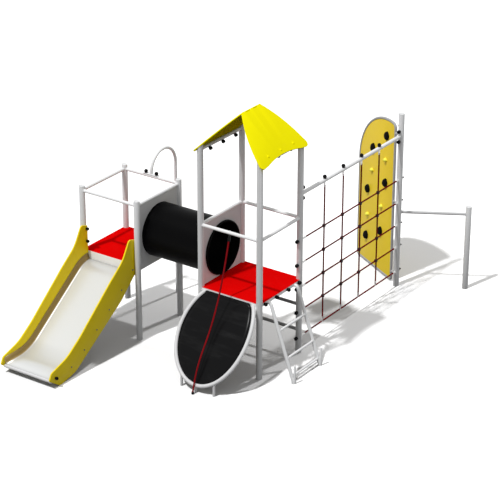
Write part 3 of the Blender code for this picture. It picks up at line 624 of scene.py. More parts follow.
# posts, and the roof's sizes, which set how high the main posts reach
post = {'r': 0.038, 'towerTop': 1.861, 'farTop': 2.400, 'outerTop': 1.157, 'rim': 0.004, 'dish': 0.006,
        'steps': 56}
roof = {
    'thick': 0.015, 'peak': 3.226, 'ridgeHalf': 0.180, 'eaveHang': 0.0824, 'sideHang': 0.0645,
    'eaveRise': 0.064, 'edgeBow': 0.050, 'corner': 0.045, 'fingers': 5, 'slot': 0.003, 'screwPitch': 0.255,
    'legAngle': 0.040, 'angleThick': 0.003, 'angleHalf': 0.150,
}


def underRoof(x):
    return roof['peak'] - roof['thick'] * sqrt(2) - abs(x - xMid)


def openPost(foot, top):
    r = post['r']
    inner = r - post['rim']
    low = top - post['dish']
    profile = [(0, low + 0.0015), (inner * 0.6, low + 0.0010), (inner - 0.002, low + 0.0004),
               (inner, low + 0.0016), (inner, top - 0.0012), (inner + 0.0008, top - 0.0002),
               (inner + 0.0016, top), (r - 0.0016, top), (r - 0.0005, top - 0.0005), (r, top - 0.0018),
               (r, 0.002), (r - 0.001, 0.0), (0, 0)]
    return turnedMesh(profile, foot, steps=post['steps'])


def mitredPost(foot):
    r = post['r']
    mesh = turnedMesh([(0, 0), (r - 0.001, 0), (r, 0.002), (r, 1.0), (r - 0.0012, 1.001), (0, 1.001)], foot,
                      steps=post['steps'])
    # the flat top is tipped to lie under the roof boards
    for vert in mesh.vertices:
        if vert.co.z > 0.9:
            drop = 0.0012 if vert.co.z < 1.0005 else 0
            vert.co.z = underRoof(vert.co.x) - gap * sqrt(2) - drop
    return mesh


for corner, foot in corners.items():
    label = corner.title().replace('_', '')
    addPiece('slidePost' + label, openPost(foot, post['towerTop']), 'grey', ['slide_post_' + corner])
    addPiece('mainPost' + label, mitredPost(foot + xAxis * xMain), 'grey', ['main_post_' + corner])
addPiece('farPost', openPost(farFoot, post['farTop']), 'grey', ['far_post'])
addPiece('outerPost', openPost(outerFoot, post['outerTop']), 'grey', ['outer_post'])
print('posts up')

# rails and rungs between the posts
rail = {'r': 0.021, 'z': 1.800, 'rungs': {'Low': 0.310, 'High': 0.650}, 'barR': 0.019, 'barZ': 1.050,
        'inset': 0.030}
seams = {'grey': [], 'rung': [], 'pale': [], 'bar': []}


def addRail(name, node, a, b, radius, finish):
    along = (b - a).normalized()
    for end, way in ((a, along), (b, -along)):
        seams[finish].append(saddleLoop(end, way, radius, post['r']))
    points = line(a + along * rail['inset'], b - along * rail['inset'], 8)
    addPiece(name, tubeMesh(points, radius, sides=28), finish, [node])


sides = {
    'front': ('front_left', 'front_right'), 'back': ('back_left', 'back_right'),
    'left': ('front_left', 'back_left'), 'right': ('front_right', 'back_right'),
}
for tower, x0 in (('slide', 0), ('main', xMain)):
    for side, ends in sides.items():
        a, b = [corners[end] + xAxis * x0 + zAxis * rail['z'] for end in ends]
        addRail(tower + 'Rail' + side.title(), '%s_rail_%s' % (tower, side), a, b, rail['r'], 'pale')
for level, z in rail['rungs'].items():
    node = 'main_back_rung_' + level.lower()
    addRail('backRung' + level, node, vec(xMain, bay, z), vec(xEnd, bay, z), rail['r'], 'rung')
lift = zAxis * rail['barZ']
addRail('turningBar', 'turning_bar', farFoot + lift, outerFoot + lift, rail['barR'], 'bar')
addHeads('railRopeBolt', [(vec(xMid, 0, rail['z'] + rail['r'] - 0.0012), zAxis)], 'steel')
print('rails in')

# decks: a red plate on a steel frame, notched round the posts
deck = {'top': 1.000, 'plate': 0.010, 'edge': 0.0265, 'beam': 0.040, 'beamHigh': 0.036, 'slideFront': 0.016,
        'capDown': 0.0245, 'capRows': (-0.360, -0.123, 0.123, 0.360), 'notchSteps': 10}
panel = {'thick': 0.018, 'low': 0.930, 'tunnelR': 0.340, 'tunnelWall': 0.010, 'tunnelZ': 1.350,
         'proud': 0.026}


def notchedOutline(lowX, highX, lowY, highY, x0):
    # round the plate, stepping in along each post
    r = post['r'] + gap
    outline = []
    for i, (right, top) in enumerate(((0, 0), (1, 0), (1, 1), (0, 1))):
        cx = x0 + bay * right
        cy = bay * top
        dx = (highX if right else lowX) - cx
        dy = (highY if top else lowY) - cy
        # the plate's two edges meet the round notch here
        onSide = atan2((1 - 2 * top) * sqrt(r * r - dx * dx), dx)
        onFront = atan2(dy, (1 - 2 * right) * sqrt(r * r - dy * dy))
        first, last = (onFront, onSide) if i % 2 else (onSide, onFront)
        swing = (first - last) % (2 * pi)
        for k in range(deck['notchSteps'] + 1):
            t = first - swing * k / deck['notchSteps']
            outline.append((cx + r * cos(t), cy + r * sin(t)))
    return outline


def addDeck(tower, x0, lowX, highX, lowY):
    highY = bay + deck['edge']
    outline = notchedOutline(lowX, highX, lowY, highY, x0)
    centre = (0, 0, deck['top'] - deck['plate'] / 2)
    plate = boardMesh([outline], deck['plate'], centre, xAxis, yAxis, 0.0016)
    addPiece(tower + 'DeckPlate', plate, 'red', [tower + '_deck'])
    top = deck['top'] - deck['plate'] - gap
    low = top - deck['beamHigh']
    wide = deck['beam']
    pitchX = (highX - lowX - wide) / 3
    pitchY = (highY - lowY - wide) / 2
    beams = []
    for j in range(3):
        y = lowY + pitchY * j
        beams.append(boxMesh((lowX, y, low), (highX, y + wide, top)))
        for i in range(4 if j < 2 else 0):
            x = lowX + pitchX * i
            beams.append(boxMesh((x, y + wide - 0.004, low + 0.001),
                                 (x + wide, y + pitchY + 0.004, top - 0.001)))
    addPiece(tower + 'DeckFrame', joined(beams), 'pale', [tower + '_deck_frame'], bevel=0.003)


half = panel['thick'] / 2
addDeck('slide', 0, -deck['edge'], bay - half - 2 * gap, deck['slideFront'])
addDeck('main', xMain, xMain + half + 2 * gap, xEnd + deck['edge'], -deck['edge'])
capZ = deck['top'] - deck['capDown']
addCaps('deckCaps', [(vec(xEnd + deck['edge'] - 0.001, mid + y, capZ), xAxis) for y in deck['capRows']])
print('decks laid')


# tunnel and the two boards it runs through
def ring(cx, cy, r, count=72):
    return [(cx + r * cos(2 * pi * k / count), cy + r * sin(2 * pi * k / count)) for k in range(count)]


reach = post['r'] + gap
for tower, x in (('slide', bay), ('main', xMain)):
    top = rail['z'] - rail['r'] - gap
    low = panel['low']
    board = rounded([(reach, low, 0.006), (bay - reach, low, 0.006), (bay - reach, top, 0.006),
                     (reach, top, 0.006)])
    hole = ring(mid, panel['tunnelZ'], panel['tunnelR'] + gap)
    mesh = boardMesh([board, hole], panel['thick'], (x, 0, 0), yAxis, zAxis, 0.002)
    addPiece(tower + 'TunnelBoard', mesh, 'panel', ['tunnel_panel_' + tower])
tunnelLow = bay - half - panel['proud']
tunnelLong = xMain + half + panel['proud'] - tunnelLow
outer = panel['tunnelR']
inner = outer - panel['tunnelWall']
wall = [(inner, 0.0045), (inner + 0.0012, 0.0014), (inner + 0.004, 0), (outer - 0.004, 0),
        (outer - 0.0012, 0.0014), (outer, 0.0045)]
rings = 24
along = [tunnelLong * k / rings for k in range(1, rings)]
wall += [(outer, x) for x in along] + [(r, tunnelLong - x) for r, x in reversed(wall)]
wall += [(inner, x) for x in reversed(along)] + wall[:1]
tunnelMesh = turnedMesh(wall, (tunnelLow, mid, panel['tunnelZ']), xAxis, 96)
addPiece('tunnelTube', tunnelMesh, 'tunnel', ['tunnel_tube'])
print('tunnel fitted')


# roof: two boards at 45 degrees, finger jointed along the ridge
def bowed(a, b, rise, count=14):
    a = Vector(a)
    b = Vector(b)
    side = Vector((a.y - b.y, b.x - a.x)).normalized()
    points = []
    for k in range(1, count):
        t = k / count
        p = a.lerp(b, t) + side * (rise * 4 * t * (1 - t))
        points.append((p.x, p.y, 0))
    return points


def roofOutline(firstFinger):
    ridge = roof['ridgeHalf']
    eave = mid + roof['sideHang']
    slope = (mid + roof['eaveHang']) * sqrt(2)
    flat = 2 * roof['corner']
    outline = bowed((0, -ridge), (slope, -eave), -roof['edgeBow'])
    outline.append((slope, -eave, roof['corner']))
    outline += bowed((slope, -eave + flat), (slope, eave - flat), roof['eaveRise'])
    outline.append((slope, eave, roof['corner']))
    outline += bowed((slope, eave), (0, ridge), -roof['edgeBow'])
    tooth = 2 * ridge / roof['fingers']
    root = roof['thick'] + roof['slot']
    for i in range(roof['fingers']):
        far = ridge - tooth * i
        tip = 0 if i % 2 == firstFinger else root
        slack = roof['slot'] / 2 if tip == 0 else -roof['slot'] / 2
        high = far - (slack if i else 0)
        low = far - tooth + (slack if i < roof['fingers'] - 1 else 0)
        outline += [(tip, high, 0), (tip, low, 0)]
    return rounded(outline, radians(10))


beamZ = underRoof(xEnd) - (rail['r'] + gap) * sqrt(2) - gap
screwRows = [mid + roof['screwPitch'] * i for i in (-1, 0, 1)]
for side, sign, x in (('Right', 1, xEnd), ('Left', -1, xMain)):
    down = vec(sign, 0, -1).normalized()
    out = vec(sign, 0, 1).normalized()
    centre = vec(xMid, mid, roof['peak']) - out * (roof['thick'] / 2)
    mesh = boardMesh([roofOutline(sign < 0)], roof['thick'], centre, down, yAxis, 0.0018)
    addPiece('roofBoard' + side, mesh, 'roof', ['roof_sheet_' + side.lower()])
    face = roof['peak'] - mid
    addHeads('roofScrews' + side, [(vec(x, y, face), out) for y in screwRows], 'roof', screwShape)
    node = 'roof_beam_' + side.lower()
    addRail('roofBeam' + side, node, vec(x, 0, beamZ), vec(x, bay, beamZ), rail['r'], 'grey')
    inward = vec(-sign, 0, -1).normalized()
    seat = vec(x, 0, beamZ) + inward * (rail['r'] - 0.001)
    addCaps('roofCaps' + side, [(seat + yAxis * y, inward) for y in screwRows])
fold = roof['angleThick'] * sqrt(2)
leg = roof['legAngle']
vee = [(0, 0), (-leg, -leg), (-leg + fold / 2, -leg - fold / 2), (0, -fold),
       (leg - fold / 2, -leg - fold / 2), (leg, -leg)]
ridgeZ = roof['peak'] - (roof['thick'] + gap) * sqrt(2)
mesh = boardMesh([vee], 2 * roof['angleHalf'], (xMid, mid, ridgeZ), xAxis, zAxis, 0.0006)
addPiece('roofRidgeAngle', mesh, 'grey', ['roof_ridge_angle'])
print('roof on')

# slide: two side boards, a trough of thin sheet between them, a lip and a riser
slide = {
    'sideThick': 0.020, 'bedTop': 0.893, 'kneeHigh': (-0.130, 0.880, 0.35), 'kneeLow': (-1.190, 0.132, 0.60),
    'bedEnd': (-1.615, 0.116), 'corner': 0.045, 'wall': 0.085, 'sheet': 0.0025, 'lipR': 0.022,
    'sideEdge': 0.0035, 'caps': ((-0.012, 1.135), (-0.012, 1.302)), 'endCap': (-1.568, 0.129),
    'bolts': ((-0.058, 0.960), (-0.285, 0.774), (-0.5315, 0.610), (-0.778, 0.440), (-1.0245, 0.272),
              (-1.271, 0.148)),
}
sideOutline = rounded([
    (0.012, 1.335, 0), (-0.105, 1.374, 0.045), (-0.240, 1.145, 0.40), (-0.500, 0.950, 0.60),
    (-1.100, 0.460, 0.60), (-1.340, 0.300, 0.50), (-1.635, 0.212, 0.045), (-1.680, 0.125, 0.030),
    (-1.500, 0.000, 0.020), (-1.430, 0.000, 0.080), (-1.190, 0.052, 0.300), (-0.300, 0.625, 0.500),
    (0.012, 0.905, 0),
], radians(5))
sideIn = reach + slide['sideThick']
for side, x, inward in (('Left', reach, xAxis), ('Right', bay - reach, -xAxis)):
    face = vec(x, 0, 0)
    centre = face + inward * (slide['sideThick'] / 2)
    mesh = boardMesh([sideOutline], slide['sideThick'], centre, yAxis, zAxis, slide['sideEdge'])
    addPiece('slideSide' + side, mesh, 'side', ['slide_side_' + side.lower()])
    seat = face + inward * (slide['sideThick'] - 0.001)
    face += inward * 0.001
    balls = [(seat + vec(0, y, z), inward) for y, z in slide['caps']]
    addCaps('slideCaps' + side, balls + [(face + vec(0, *slide['endCap']), -inward)], size=1.0)
    addHeads('slideBolts' + side, [(face + vec(0, y, z), -inward) for y, z in slide['bolts']])

bedLine = rounded([(deck['slideFront'] - 0.0038, slide['bedTop'], 0), slide['kneeHigh'], slide['kneeLow'],
                   (*slide['bedEnd'], 0)], radians(3))
halfWide = mid - sideIn - gap
chute = grown(wireMesh([[(mid, p.x, p.y) for p in bedLine]]), trough, 'chute', {
    'Half Width': halfWide - slide['sheet'], 'Wall': slide['wall'], 'Corner': slide['corner'],
})
shell = addPiece('slideChute', chute, 'chute', ['slide_chute']).modifiers.new('sheet', 'SOLIDIFY')
shell.thickness = slide['sheet']
shell.offset = 1
shell.use_even_offset = True
lipZ = slide['bedEnd'][1] - slide['sheet'] - gap - slide['lipR']
lipStart = vec(sideIn + gap, slide['bedEnd'][0], lipZ)
lipLong = bay - 2 * (sideIn + gap)
r = slide['lipR']
lipProfile = [(0, 0), (r - 0.002, 0), (r - 0.0005, 0.0006), (r, 0.002)]
lipProfile += [(r, lipLong * k / 12) for k in range(1, 12)]
lipProfile += [(x, lipLong - z) for x, z in reversed(lipProfile[:4])]
addPiece('slideLip', turnedMesh(lipProfile, lipStart, xAxis, 32), 'white', ['slide_lip'])
low = (sideIn + gap, deck['slideFront'] - gap - 0.003, slide['bedTop'] - 0.040)
high = (bay - sideIn - gap, deck['slideFront'] - gap, deck['top'] - 0.002)
addPiece('slideRiser', boxMesh(low, high), 'pale', ['slide_riser'], bevel=0.0012)
print('slide in place')

# ramp climber: a bowed sheet in an oval tube, cut off at the deck
ramp = {'tubeR': 0.024, 'hang': 0.0565, 'halfLong': 0.656, 'topZ': 0.955, 'foot': (-0.705, 0.092),
        'bow': 0.042, 'sheet': 0.010, 'steps': 72, 'legR': 0.017, 'legX': 0.236, 'start': 0.030,
        'lipZ': 0.984, 'lipIn': 0.034}
deckFace = -deck['edge'] - gap
rampTop = Vector((deckFace, ramp['topZ']))
chord = Vector(ramp['foot']) - rampTop
chordWay = chord.normalized()
chordUp = Vector((chordWay.y, -chordWay.x))
rampHalf = mid + ramp['hang']
rampCentre = chord.length - ramp['halfLong']


def onRamp(along, across, lift=0.0):
    t = along / chord.length
    rise = ramp['bow'] * 4 * t * (1 - t)
    slope = ramp['bow'] * 4 * (1 - 2 * t) / chord.length
    up = (chordUp - chordWay * slope).normalized()
    p = rampTop + chordWay * along + chordUp * rise + up * lift
    return vec(xMid + across, p.x, p.y)


def oval(shrink, first):
    for k in range(ramp['steps'] + 1):
        a = -first + (pi + 2 * first) * k / ramp['steps']
        yield rampCentre + (ramp['halfLong'] - shrink) * sin(a), (rampHalf - shrink) * cos(a)


cutAngle = asin(rampCentre / ramp['halfLong'])
hoop = [onRamp(s, x) for s, x in oval(0, cutAngle + 0.10)]
hoopMesh = cutAway(tubeMesh(hoop, ramp['tubeR'], sides=28), (0, deckFace, 0), (0, 1, 0))
legs = []
rampSeams = []
for x in (-ramp['legX'], 0, ramp['legX']):
    along = rampCentre + ramp['halfLong'] * sqrt(1 - (x / rampHalf) ** 2)
    top = onRamp(along, x)
    r = ramp['legR']
    long = top.z - 0.006
    profile = [(0, 0), (r - 0.001, 0), (r, 0.0012), (r, long * 0.5), (r, long), (0, long)]
    legs.append(turnedMesh(profile, (top.x, top.y, 0), steps=24))
    around = ring(0, 0, r, 20)
    rampSeams.append([top + vec(dx, dy, -sqrt(ramp['tubeR'] ** 2 - dy * dy)) for dx, dy in around])
addPiece('rampHoop', joined([hoopMesh] + legs), 'white', ['ramp_frame'])
addPiece('rampWelds', weldLoops(rampSeams, 'white', 0.0035), 'white')
rows = []
for along, across in list(oval(ramp['tubeR'] / 2, cutAngle))[:ramp['steps'] // 2]:
    rows.append([onRamp(max(along, ramp['start']), x, -ramp['sheet'] / 2) for x in (-across, across)])
lipHalf = (rampHalf - ramp['tubeR'] / 2) * cos(cutAngle) - ramp['lipIn']
lipY = deckFace - ramp['sheet'] - 4 * gap
rows.insert(0, [vec(xMid + x, lipY, ramp['lipZ']) for x in (-lipHalf, lipHalf)])
columns = 12
bm = bmesh.new()
bmesh.ops.create_grid(bm, x_segments=columns, y_segments=len(rows) - 1, size=1)
bm.verts.ensure_lookup_table()
for i, vert in enumerate(bm.verts):
    row, column = divmod(i, columns + 1)
    vert.co = rows[row][0].lerp(rows[row][1], column / columns)
bmesh.ops.recalc_face_normals(bm, faces=bm.faces)
if sum(f.normal.z for f in bm.faces) < 0:
    bmesh.ops.reverse_faces(bm, faces=bm.faces)
shell = addPiece('rampSheet', bmMesh(bm), 'gloss', ['ramp_panel']).modifiers.new('sheet', 'SOLIDIFY')
shell.thickness = ramp['sheet']
shell.offset = 1
print('ramp on')

# climbing rope: it hangs in a slack curve from the front rail to its anchor at the ramp's foot
rope = {'netR': 0.009, 'climbR': 0.011, 'sleeve': 0.103, 'clear': 0.022, 'drop': (-0.354, -1.376),
        'rise': (0.158, 0.629), 'anchorR': 0.0165, 'anchorHigh': 0.030, 'sink': 0.002, 'steps': 80,
        'strands': 4, 'pitch': 0.070, 'step': 0.0085}
ropeTop = vec(xMid, 0, rail['z'])
ropeFootY = onRamp(chord.length, 0).y - ramp['tubeR'] - rope['climbR'] - rope['clear']
ropeFoot = vec(xMid, ropeFootY, rope['anchorHigh'] - rope['sink'])
ropeDrop = ropeTop + Vector((0, *rope['drop']))
ropeRise = ropeFoot + Vector((0, *rope['rise']))
ropeWay = (ropeDrop - ropeTop).normalized()
sleeveEnd = ropeTop + ropeWay * rope['sleeve']
path = [sleeveEnd - ropeWay * 0.02]
for k in range(rope['steps'] + 1):
    t = k / rope['steps']
    s = 1 - t
    pull = ropeDrop * (3 * s * s * t) + ropeRise * (3 * s * t * t)
    path.append(sleeveEnd * s ** 3 + pull + ropeFoot * t ** 3)
ropeLong = sum((b - a).length for a, b in zip(path[1:], path[2:]))
print('climbing rope, free length in metres: %.3f' % ropeLong)
mesh = ropeMesh([path], 'climbRope', rope['strands'], rope['climbR'], rope['pitch'], rope['step'])
addPiece('climbingRope', mesh, 'climbRope', ['climbing_rope'])
sleeveR = rope['climbR'] + 0.003
sleeveTop = ropeTop + ropeWay * rail['r']
sleeveLong = rope['sleeve'] - rail['r']
profile = [(0, -0.006), (sleeveR, -0.006), (sleeveR, 0.010), (sleeveR - 0.0012, 0.014),
           (sleeveR - 0.0012, 0.022), (sleeveR, 0.026), (sleeveR, sleeveLong - 0.026),
           (sleeveR - 0.0012, sleeveLong - 0.022), (sleeveR - 0.0012, sleeveLong - 0.014),
           (sleeveR, sleeveLong - 0.010), (sleeveR, sleeveLong - 0.001), (sleeveR - 0.001, sleeveLong),
           (0, sleeveLong)]
addPiece('ropeSleeve', turnedMesh(profile, sleeveTop, ropeWay, 28), 'black', ['rope_ferrule'])
r = rope['anchorR']
h = rope['anchorHigh']
profile = [(0, h), (0.0115, h), (0.0138, h - 0.0008), (0.0150, h - 0.003), (r - 0.0006, h - 0.006),
           (r, h - 0.008), (r, 0.001), (r - 0.001, 0), (0, 0)]
addPiece('ropeAnchor', turnedMesh(profile, (xMid, ropeFootY, 0), steps=36), 'black', ['rope_anchor'])
print('climbing rope tied')

# ladder: two bent legs bolted to the deck's edge, two upright feet and three rungs
ladder = {'r': 0.021, 'rungR': 0.015, 'topDown': 0.030, 'topX': 0.065, 'footX': 0.406, 'half': 0.285,
          'bend': 0.050, 'stubR': 0.014, 'stubTop': 0.240, 'stubOut': 0.013,
          'rungs': (0.085, 0.300, 0.630)}
footX = xEnd + ladder['footX']
ladderTop = vec(xEnd + ladder['topX'], mid, deck['top'] - ladder['topDown'])
lean = vec(footX - ladderTop.x, 0, -ladderTop.z).normalized()
bend = rounded([(xEnd + deck['edge'] + gap, ladderTop.z, 0), (ladderTop.x, ladderTop.z, ladder['bend']),
                (footX, 0, 0)], radians(7))
bend[-1:] = line(bend[-2], bend[-1], 8)[1:] + [bend[-1] + lean.xz * 0.03]
pieces = []
ladderSeams = []
r = ladder['stubR']
top = ladder['stubTop']
stub = [(0, 0), (r - 0.001, 0), (r, 0.0012), (r, top - 0.004), (r - 0.0012, top - 0.001), (r - 0.004, top),
        (0, top)]
sideY = (mid - ladder['half'], mid + ladder['half'])
for y in sideY:
    leg = tubeMesh([(p.x, y, p.y) for p in bend], ladder['r'], sides=28)
    pieces.append(cutAway(leg, (0, 0, 0), (0, 0, -1)))
    pieces.append(turnedMesh(stub, (footX + ladder['stubOut'], y, 0), steps=24))
for z in ladder['rungs']:
    a, b = [vec(footX + lean.x / lean.z * z, y, z) for y in sideY]
    pieces.append(tubeMesh(line(a, b, 6), ladder['rungR']))
    for end, way in ((a, yAxis), (b, -yAxis)):
        ladderSeams.append(saddleLoop(end, way, ladder['rungR'], ladder['r'], 20))
addPiece('ladderFrame', joined(pieces), 'pale', ['ladder'])
addPiece('ladderWelds', weldLoops(ladderSeams, 'pale', 0.0035), 'pale')
print('ladder up')

# net: standing and cross ropes with knots, on fittings between two posts and a rail
net = {'railR': 0.024, 'railZ': 2.100, 'top': 2.020, 'topRow': 1.500, 'foot': 0.270, 'low': 0.204,
       'pitchZ': 0.3155, 'pitchY': 0.416, 'rows': 4, 'columns': 4, 'nearFit': 0.088, 'farFit': 0.042,
       'weave': 0.003, 'sleeveR': 0.012, 'knotR': 0.0235, 'knotLong': 0.034, 'studLong': 0.058,
       'ropeMore': 0.0017, 'capSpread': 0.068, 'ropePitch': 0.050, 'ropeStep': 0.0075,
       'farHeads': (2.230, 2.375)}
netMid = bay + plan['net'] / 2
columnY = [netMid + net['pitchY'] * (i - (net['columns'] - 1) / 2) for i in range(net['columns'])]
rowZ = [net['topRow'] - net['pitchZ'] * i for i in range(net['rows'])]
ropeRows = rowZ + [net['low']]
nearPost = corners['back_right'] + xAxis * xMain
lift = zAxis * net['railZ']
addRail('netRail', 'net_rail', nearPost + lift, farFoot + lift, net['railR'], 'pale')
addCaps('netRailCaps', [(vec(xEnd, y, net['railZ'] + net['railR'] - 0.001), zAxis) for y in columnY])
near = bay + post['r'] + net['nearFit'] - 0.02
far = farFoot.y - post['r'] - net['farFit'] + 0.02
front = xEnd + net['weave']
back = xEnd - net['weave']
paths = [line(vec(front, y, net['low']), vec(front, y, net['top'] + 0.02), 40) for y in columnY]
paths += [line(vec(back, near, z), vec(back, far, z), 40) for z in ropeRows]
r = rope['netR'] + net['ropeMore']
mesh = ropeMesh(paths, 'rope', rope['strands'], r, net['ropePitch'], net['ropeStep'])
addPiece('netRopes', mesh, 'rope', ['climbing_net'])


def fittings(long, spots):
    r = net['sleeveR']
    groove = r - 0.0010
    profile = [(0, -0.004), (r, -0.004)]
    for share in (0.2, 0.5, 0.8):
        profile += [(r, long * (share - 0.07)), (groove, long * (share - 0.05)),
                    (groove, long * (share + 0.05)), (r, long * (share + 0.07))]
    profile += [(r, long - 0.0008), (r - 0.0008, long), (0, long)]
    return onPoints(turnedMesh(profile, steps=20), spots, 'sleeve')


r = net['knotR']
h = net['knotLong'] / 2
knotHalf = [(0, 1), (0.55, 1), (0.80, 0.93), (0.95, 0.66), (1, 0.25)]
profile = [(r * x, -h * z) for x, z in knotHalf] + [(r * 0.985, 0)]
profile += [(r * x, h * z) for x, z in reversed(knotHalf)]
knots = [(vec(xEnd, y, z), xAxis) for y in columnY for z in rowZ]
addPiece('netKnots', onPoints(turnedMesh(profile, steps=28), knots, 'knot'), 'knot')
face = post['r'] - 0.001
underRail = net['railZ'] - net['railR']
addPiece('netSleeves', joined([
    fittings(net['nearFit'] + 0.001, [(nearPost + vec(0, face, z), yAxis) for z in ropeRows]),
    fittings(net['farFit'] + 0.001, [(farFoot + vec(0, -face, z), -yAxis) for z in ropeRows]),
    fittings(underRail - net['top'] + 0.001, [(vec(xEnd, y, underRail + 0.001), -zAxis) for y in columnY]),
    fittings(net['foot'] - net['low'], [(vec(xEnd, y, net['low']), zAxis) for y in columnY]),
]), 'sleeve')
spots = [(nearPost + vec(0, -face, z), -yAxis) for z in ropeRows]
for z in (net['railZ'] - net['capSpread'], net['railZ'] + net['capSpread']):
    spots += [(nearPost + vec(0, face, z), yAxis), (farFoot + vec(0, -face, z), -yAxis)]
addCaps('netPostCaps', spots)
long = net['studLong']
nuts = [(farFoot + vec(0, post['r'] + long - 0.006, z), yAxis) for z in ropeRows]
addHeads('netPostNuts', nuts, 'black', nutShape)
stud = [(0, 0), (0.008, 0), (0.008, long - 0.001), (0.007, long), (0, long)]
studs = [turnedMesh(stud, farFoot + vec(0, face, z), yAxis, 16) for z in ropeRows]
addPiece('netPostStuds', joined(studs), 'black')
addHeads('farPostHeads', [(farFoot + vec(-face, 0, z), -xAxis) for z in net['farHeads']], 'black')
print('net strung')

# climbing wall: a board with holds in a tube hoop, turned out from the far post
climb = {'tubeR': 0.017, 'inner': 0.140, 'outer': 1.065, 'spring': 1.430, 'crest': 2.207, 'crestAt': 0.260,
         'foot': 0.030, 'corner': 0.026, 'thick': 0.018, 'ties': (0.150, 1.150, 2.090), 'tieR': 0.011}
holds = {
    'black': ((0.046, 0.060, 0.052), ((0.822, 0.396), (0.440, 0.607), (0.810, 1.069), (0.340, 1.328),
                                      (0.690, 1.695), (0.334, 1.982))),
    'yellow': ((0.030, 0.026, 0.042), ((0.800, 0.707), (0.435, 0.960), (0.712, 1.370), (0.358, 1.641))),
}


def onWall(along, z, lift=0.0):
    return farFoot + wallAlong * along + zAxis * z + wallOut * lift


def wallOutline(d):
    # the hoop's line, moved inwards by d; its crest is a quarter of an ellipse
    arcSteps = 28
    low = climb['foot'] + d
    outer = climb['outer'] - d
    inner = climb['inner'] + d
    corner = max(climb['corner'] - d, 0.008)
    points = [(inner, low, corner), (outer, low, corner)]
    for k in range(arcSteps + 1):
        a = pi / 2 * k / arcSteps
        wide = outer - climb['crestAt']
        high = climb['crest'] - d - climb['spring']
        points.append((climb['crestAt'] + wide * cos(a), climb['spring'] + high * sin(a), 0))
    points.append((inner, climb['crest'] - d - 0.008, 0.060 - d))
    return rounded(points)


pieces = [tubeMesh([onWall(p.x, p.y) for p in wallOutline(0)], climb['tubeR'], cyclic=True)]
r = climb['tieR']
for z in climb['ties']:
    postSide = onWall(0, z)
    hoopSide = onWall(climb['inner'], z)
    pieces.append(tubeMesh(line(onWall(0.030, z), hoopSide, 3), r, sides=20))
    seams['grey'] += [saddleLoop(postSide, wallAlong, r, post['r'], 18),
                      saddleLoop(hoopSide, -wallAlong, r, climb['tubeR'], 18)]
addPiece('wallHoop', joined(pieces), 'hoop', ['wall_frame'])
outline = wallOutline(climb['tubeR'] - 0.001)
mesh = boardMesh([outline], climb['thick'], farFoot, wallAlong, zAxis, 0.001)
addPiece('wallBoard', mesh, 'wall', ['wall_panel'])


def holdMesh(along, z, size, seed):
    # a squashed half ball, pinched and dented so that no two are alike, with a sunk bolt recess in its top
    wide, high, proud = size
    bm = bmesh.new()
    bmesh.ops.create_uvsphere(bm, u_segments=40, v_segments=30, radius=1)
    everything = bm.verts[:] + bm.edges[:] + bm.faces[:]
    bmesh.ops.bisect_plane(bm, geom=everything, plane_co=(0, 0, 0), plane_no=(0, 0, 1), clear_inner=True)
    bmesh.ops.holes_fill(bm, edges=bm.edges)
    for vert in bm.verts:
        x, y, up = vert.co
        lift = max(0.0, up)
        dent = 1 - lift * (0.05 * (1 + sin(3.1 * x + seed * 1.7)) + 0.04 * (1 + sin(4.3 * y + seed * 2.9)))
        square = 1 - 0.07 * (x * x * y * y) * 4
        hole = Vector((x - 0.10, y + 0.02)).length
        sink = 0.30 if hole < 0.14 and lift > 0.5 else 0
        vert.co = (x * high * square, y * wide * square, lift ** 0.8 * proud * dent - sink * proud * 0.5)
    turn = Matrix((zAxis, wallOut.cross(zAxis), wallOut)).transposed().to_4x4()
    bm.transform(Matrix.Translation(onWall(along, z, climb['thick'] / 2)) @ turn)
    bmesh.ops.recalc_face_normals(bm, faces=bm.faces)
    return bmMesh(bm)


for kind, (size, spots) in holds.items():
    finish = 'hold' + kind.title()
    for i, (along, z) in enumerate(spots):
        mesh = holdMesh(along, z, size, i + (7 if kind == 'yellow' else 0))
        addPiece('%s%d' % (finish, i + 1), mesh, finish, ['wall_hold_%s_%d' % (kind, i + 1)])
print('wall up')

# hook pole on the slide tower's back rail
pole = {'r': 0.020, 'bend': 0.2505, 'saddleHalf': 0.115, 'saddleThick': 0.006, 'saddleWide': 0.048,
        'caps': 0.081}
saddleZ = rail['z'] + rail['r'] + gap
seatZ = saddleZ + pole['saddleThick']
bend = vec(mid, bay + pole['bend'], seatZ + 0.010)
path = [vec(mid, bay, seatZ - 0.002)]
for k in range(49):
    a = pi - pi * k / 48
    path.append(bend + vec(0, cos(a), sin(a)) * pole['bend'])
far = bay + 2 * pole['bend']
path += line(vec(mid, far, seatZ), vec(mid, far, 0), 8)[1:]
low = (mid - pole['saddleHalf'], bay - pole['saddleWide'] / 2, saddleZ)
high = (mid + pole['saddleHalf'], bay + pole['saddleWide'] / 2, seatZ)
addPiece('hookPole', tubeMesh(path, pole['r'], sides=28), 'pale', ['hook_pole'])
addPiece('hookSaddle', boxMesh(low, high), 'pale', bevel=0.0015)
addCaps('hookCaps', [(vec(mid + x, bay, seatZ - 0.001), zAxis) for x in (-pole['caps'], pole['caps'])])
foot = [vec(x, y, seatZ) for x, y in ring(mid, bay, pole['r'], 24)]
addPiece('hookWeld', weldLoops([foot], 'pale'), 'pale')
for finish, loops in seams.items():
    addPiece('railWelds' + finish.title(), weldLoops(loops, finish), finish)
print('hook pole and welds done')

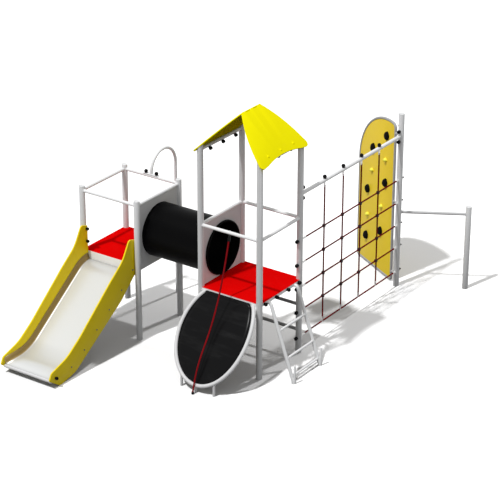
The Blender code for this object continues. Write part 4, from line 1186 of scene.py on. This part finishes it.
# camera, light and floor
view = {'place': (14.8349, -17.7024, 11.5713), 'yaw': -0.6082, 'pitch': -0.4309, 'roll': 0.002,
        'focal': 2039.35, 'pixels': 500, 'reach': 200}
camera = bpy.data.cameras.new('camera')
camera.lens = view['focal'] / view['pixels'] * camera.sensor_width
camera.clip_end = view['reach']
cameraObj = linked('camera', camera)
ahead = vec(sin(view['yaw']) * cos(view['pitch']), cos(view['yaw']) * cos(view['pitch']), sin(view['pitch']))
level = vec(cos(view['yaw']), -sin(view['yaw']), 0)
lift = level.cross(ahead)
right = level * cos(view['roll']) + lift * sin(view['roll'])
up = lift * cos(view['roll']) - level * sin(view['roll'])
turn = Matrix((right, up, -ahead)).transposed().to_4x4()
cameraObj.matrix_world = Matrix.Translation(view['place']) @ turn
bpy.context.scene.camera = cameraObj

light = {
    'towards': (-0.112, -0.466, 0.914), 'sun': 2.10, 'soft': 2.5, 'sky': 0.60,
    'behind': (0.115, 0.640, 1.000), 'frontFloor': 3.0, 'backFloor': 1.75,
}


def addSun(name, way, energy, only=None):
    sun = bpy.data.lights.new(name, 'SUN')
    sun.energy = energy
    sun.angle = radians(light['soft'])
    sunObj = linked(name, sun)
    sunObj.rotation_euler = Vector(way).to_track_quat('Z', 'Y').to_euler()
    if only:
        sunObj.light_linking.receiver_collection = only


addSun('sun', light['towards'], light['sun'])

world = bpy.data.worlds.new('studio')
world.use_nodes = True
sky = NodeTree(world.node_tree)
rays = sky.node('ShaderNodeLightPath', out='Is Camera Ray')
seen = sky.math('MAXIMUM', rays, rays.output('Is Glossy Ray'))
strength = sky.node('ShaderNodeMix', Factor=seen, A=light['sky'], B=1.0)
backdrop = sky.node('ShaderNodeBackground', Color=(1, 1, 1, 1), Strength=strength)
sky.node('ShaderNodeOutputWorld', Surface=backdrop)
bpy.context.scene.world = world

ground = {'half': 40, 'seen': (0.56, 0.56, 0.56), 'unseen': (0.045, 0.045, 0.045)}
bm = bmesh.new()
bmesh.ops.create_grid(bm, x_segments=4, y_segments=4, size=ground['half'])
bm.transform(Matrix.Translation((1.5, 1, -0.0005)))
floor = linked('floor', bmMesh(bm))
s = Shader('paleFloor')
rays = s.node('ShaderNodeLightPath', out='Is Camera Ray')
tone = s.mix(s.clamp(rays + rays.output('Is Glossy Ray')), ground['unseen'], ground['seen'])
surface = s.node('ShaderNodeBsdfPrincipled', BaseColor=tone, Roughness=1.0, SpecularIORLevel=0.0)
s.node('ShaderNodeOutputMaterial', Surface=surface)
floor.data.materials.append(s.material)
# the floor alone gets more sun, and one from behind, for a white ground with dark shadows
floorOnly = bpy.data.collections.new('floorOnly')
floorOnly.objects.link(floor)
addSun('floorSun', light['towards'], light['frontFloor'], floorOnly)
addSun('floorBackSun', light['behind'], light['backFloor'], floorOnly)

scene = bpy.context.scene
scene.view_settings.view_transform = 'Standard'
print('scene ready')
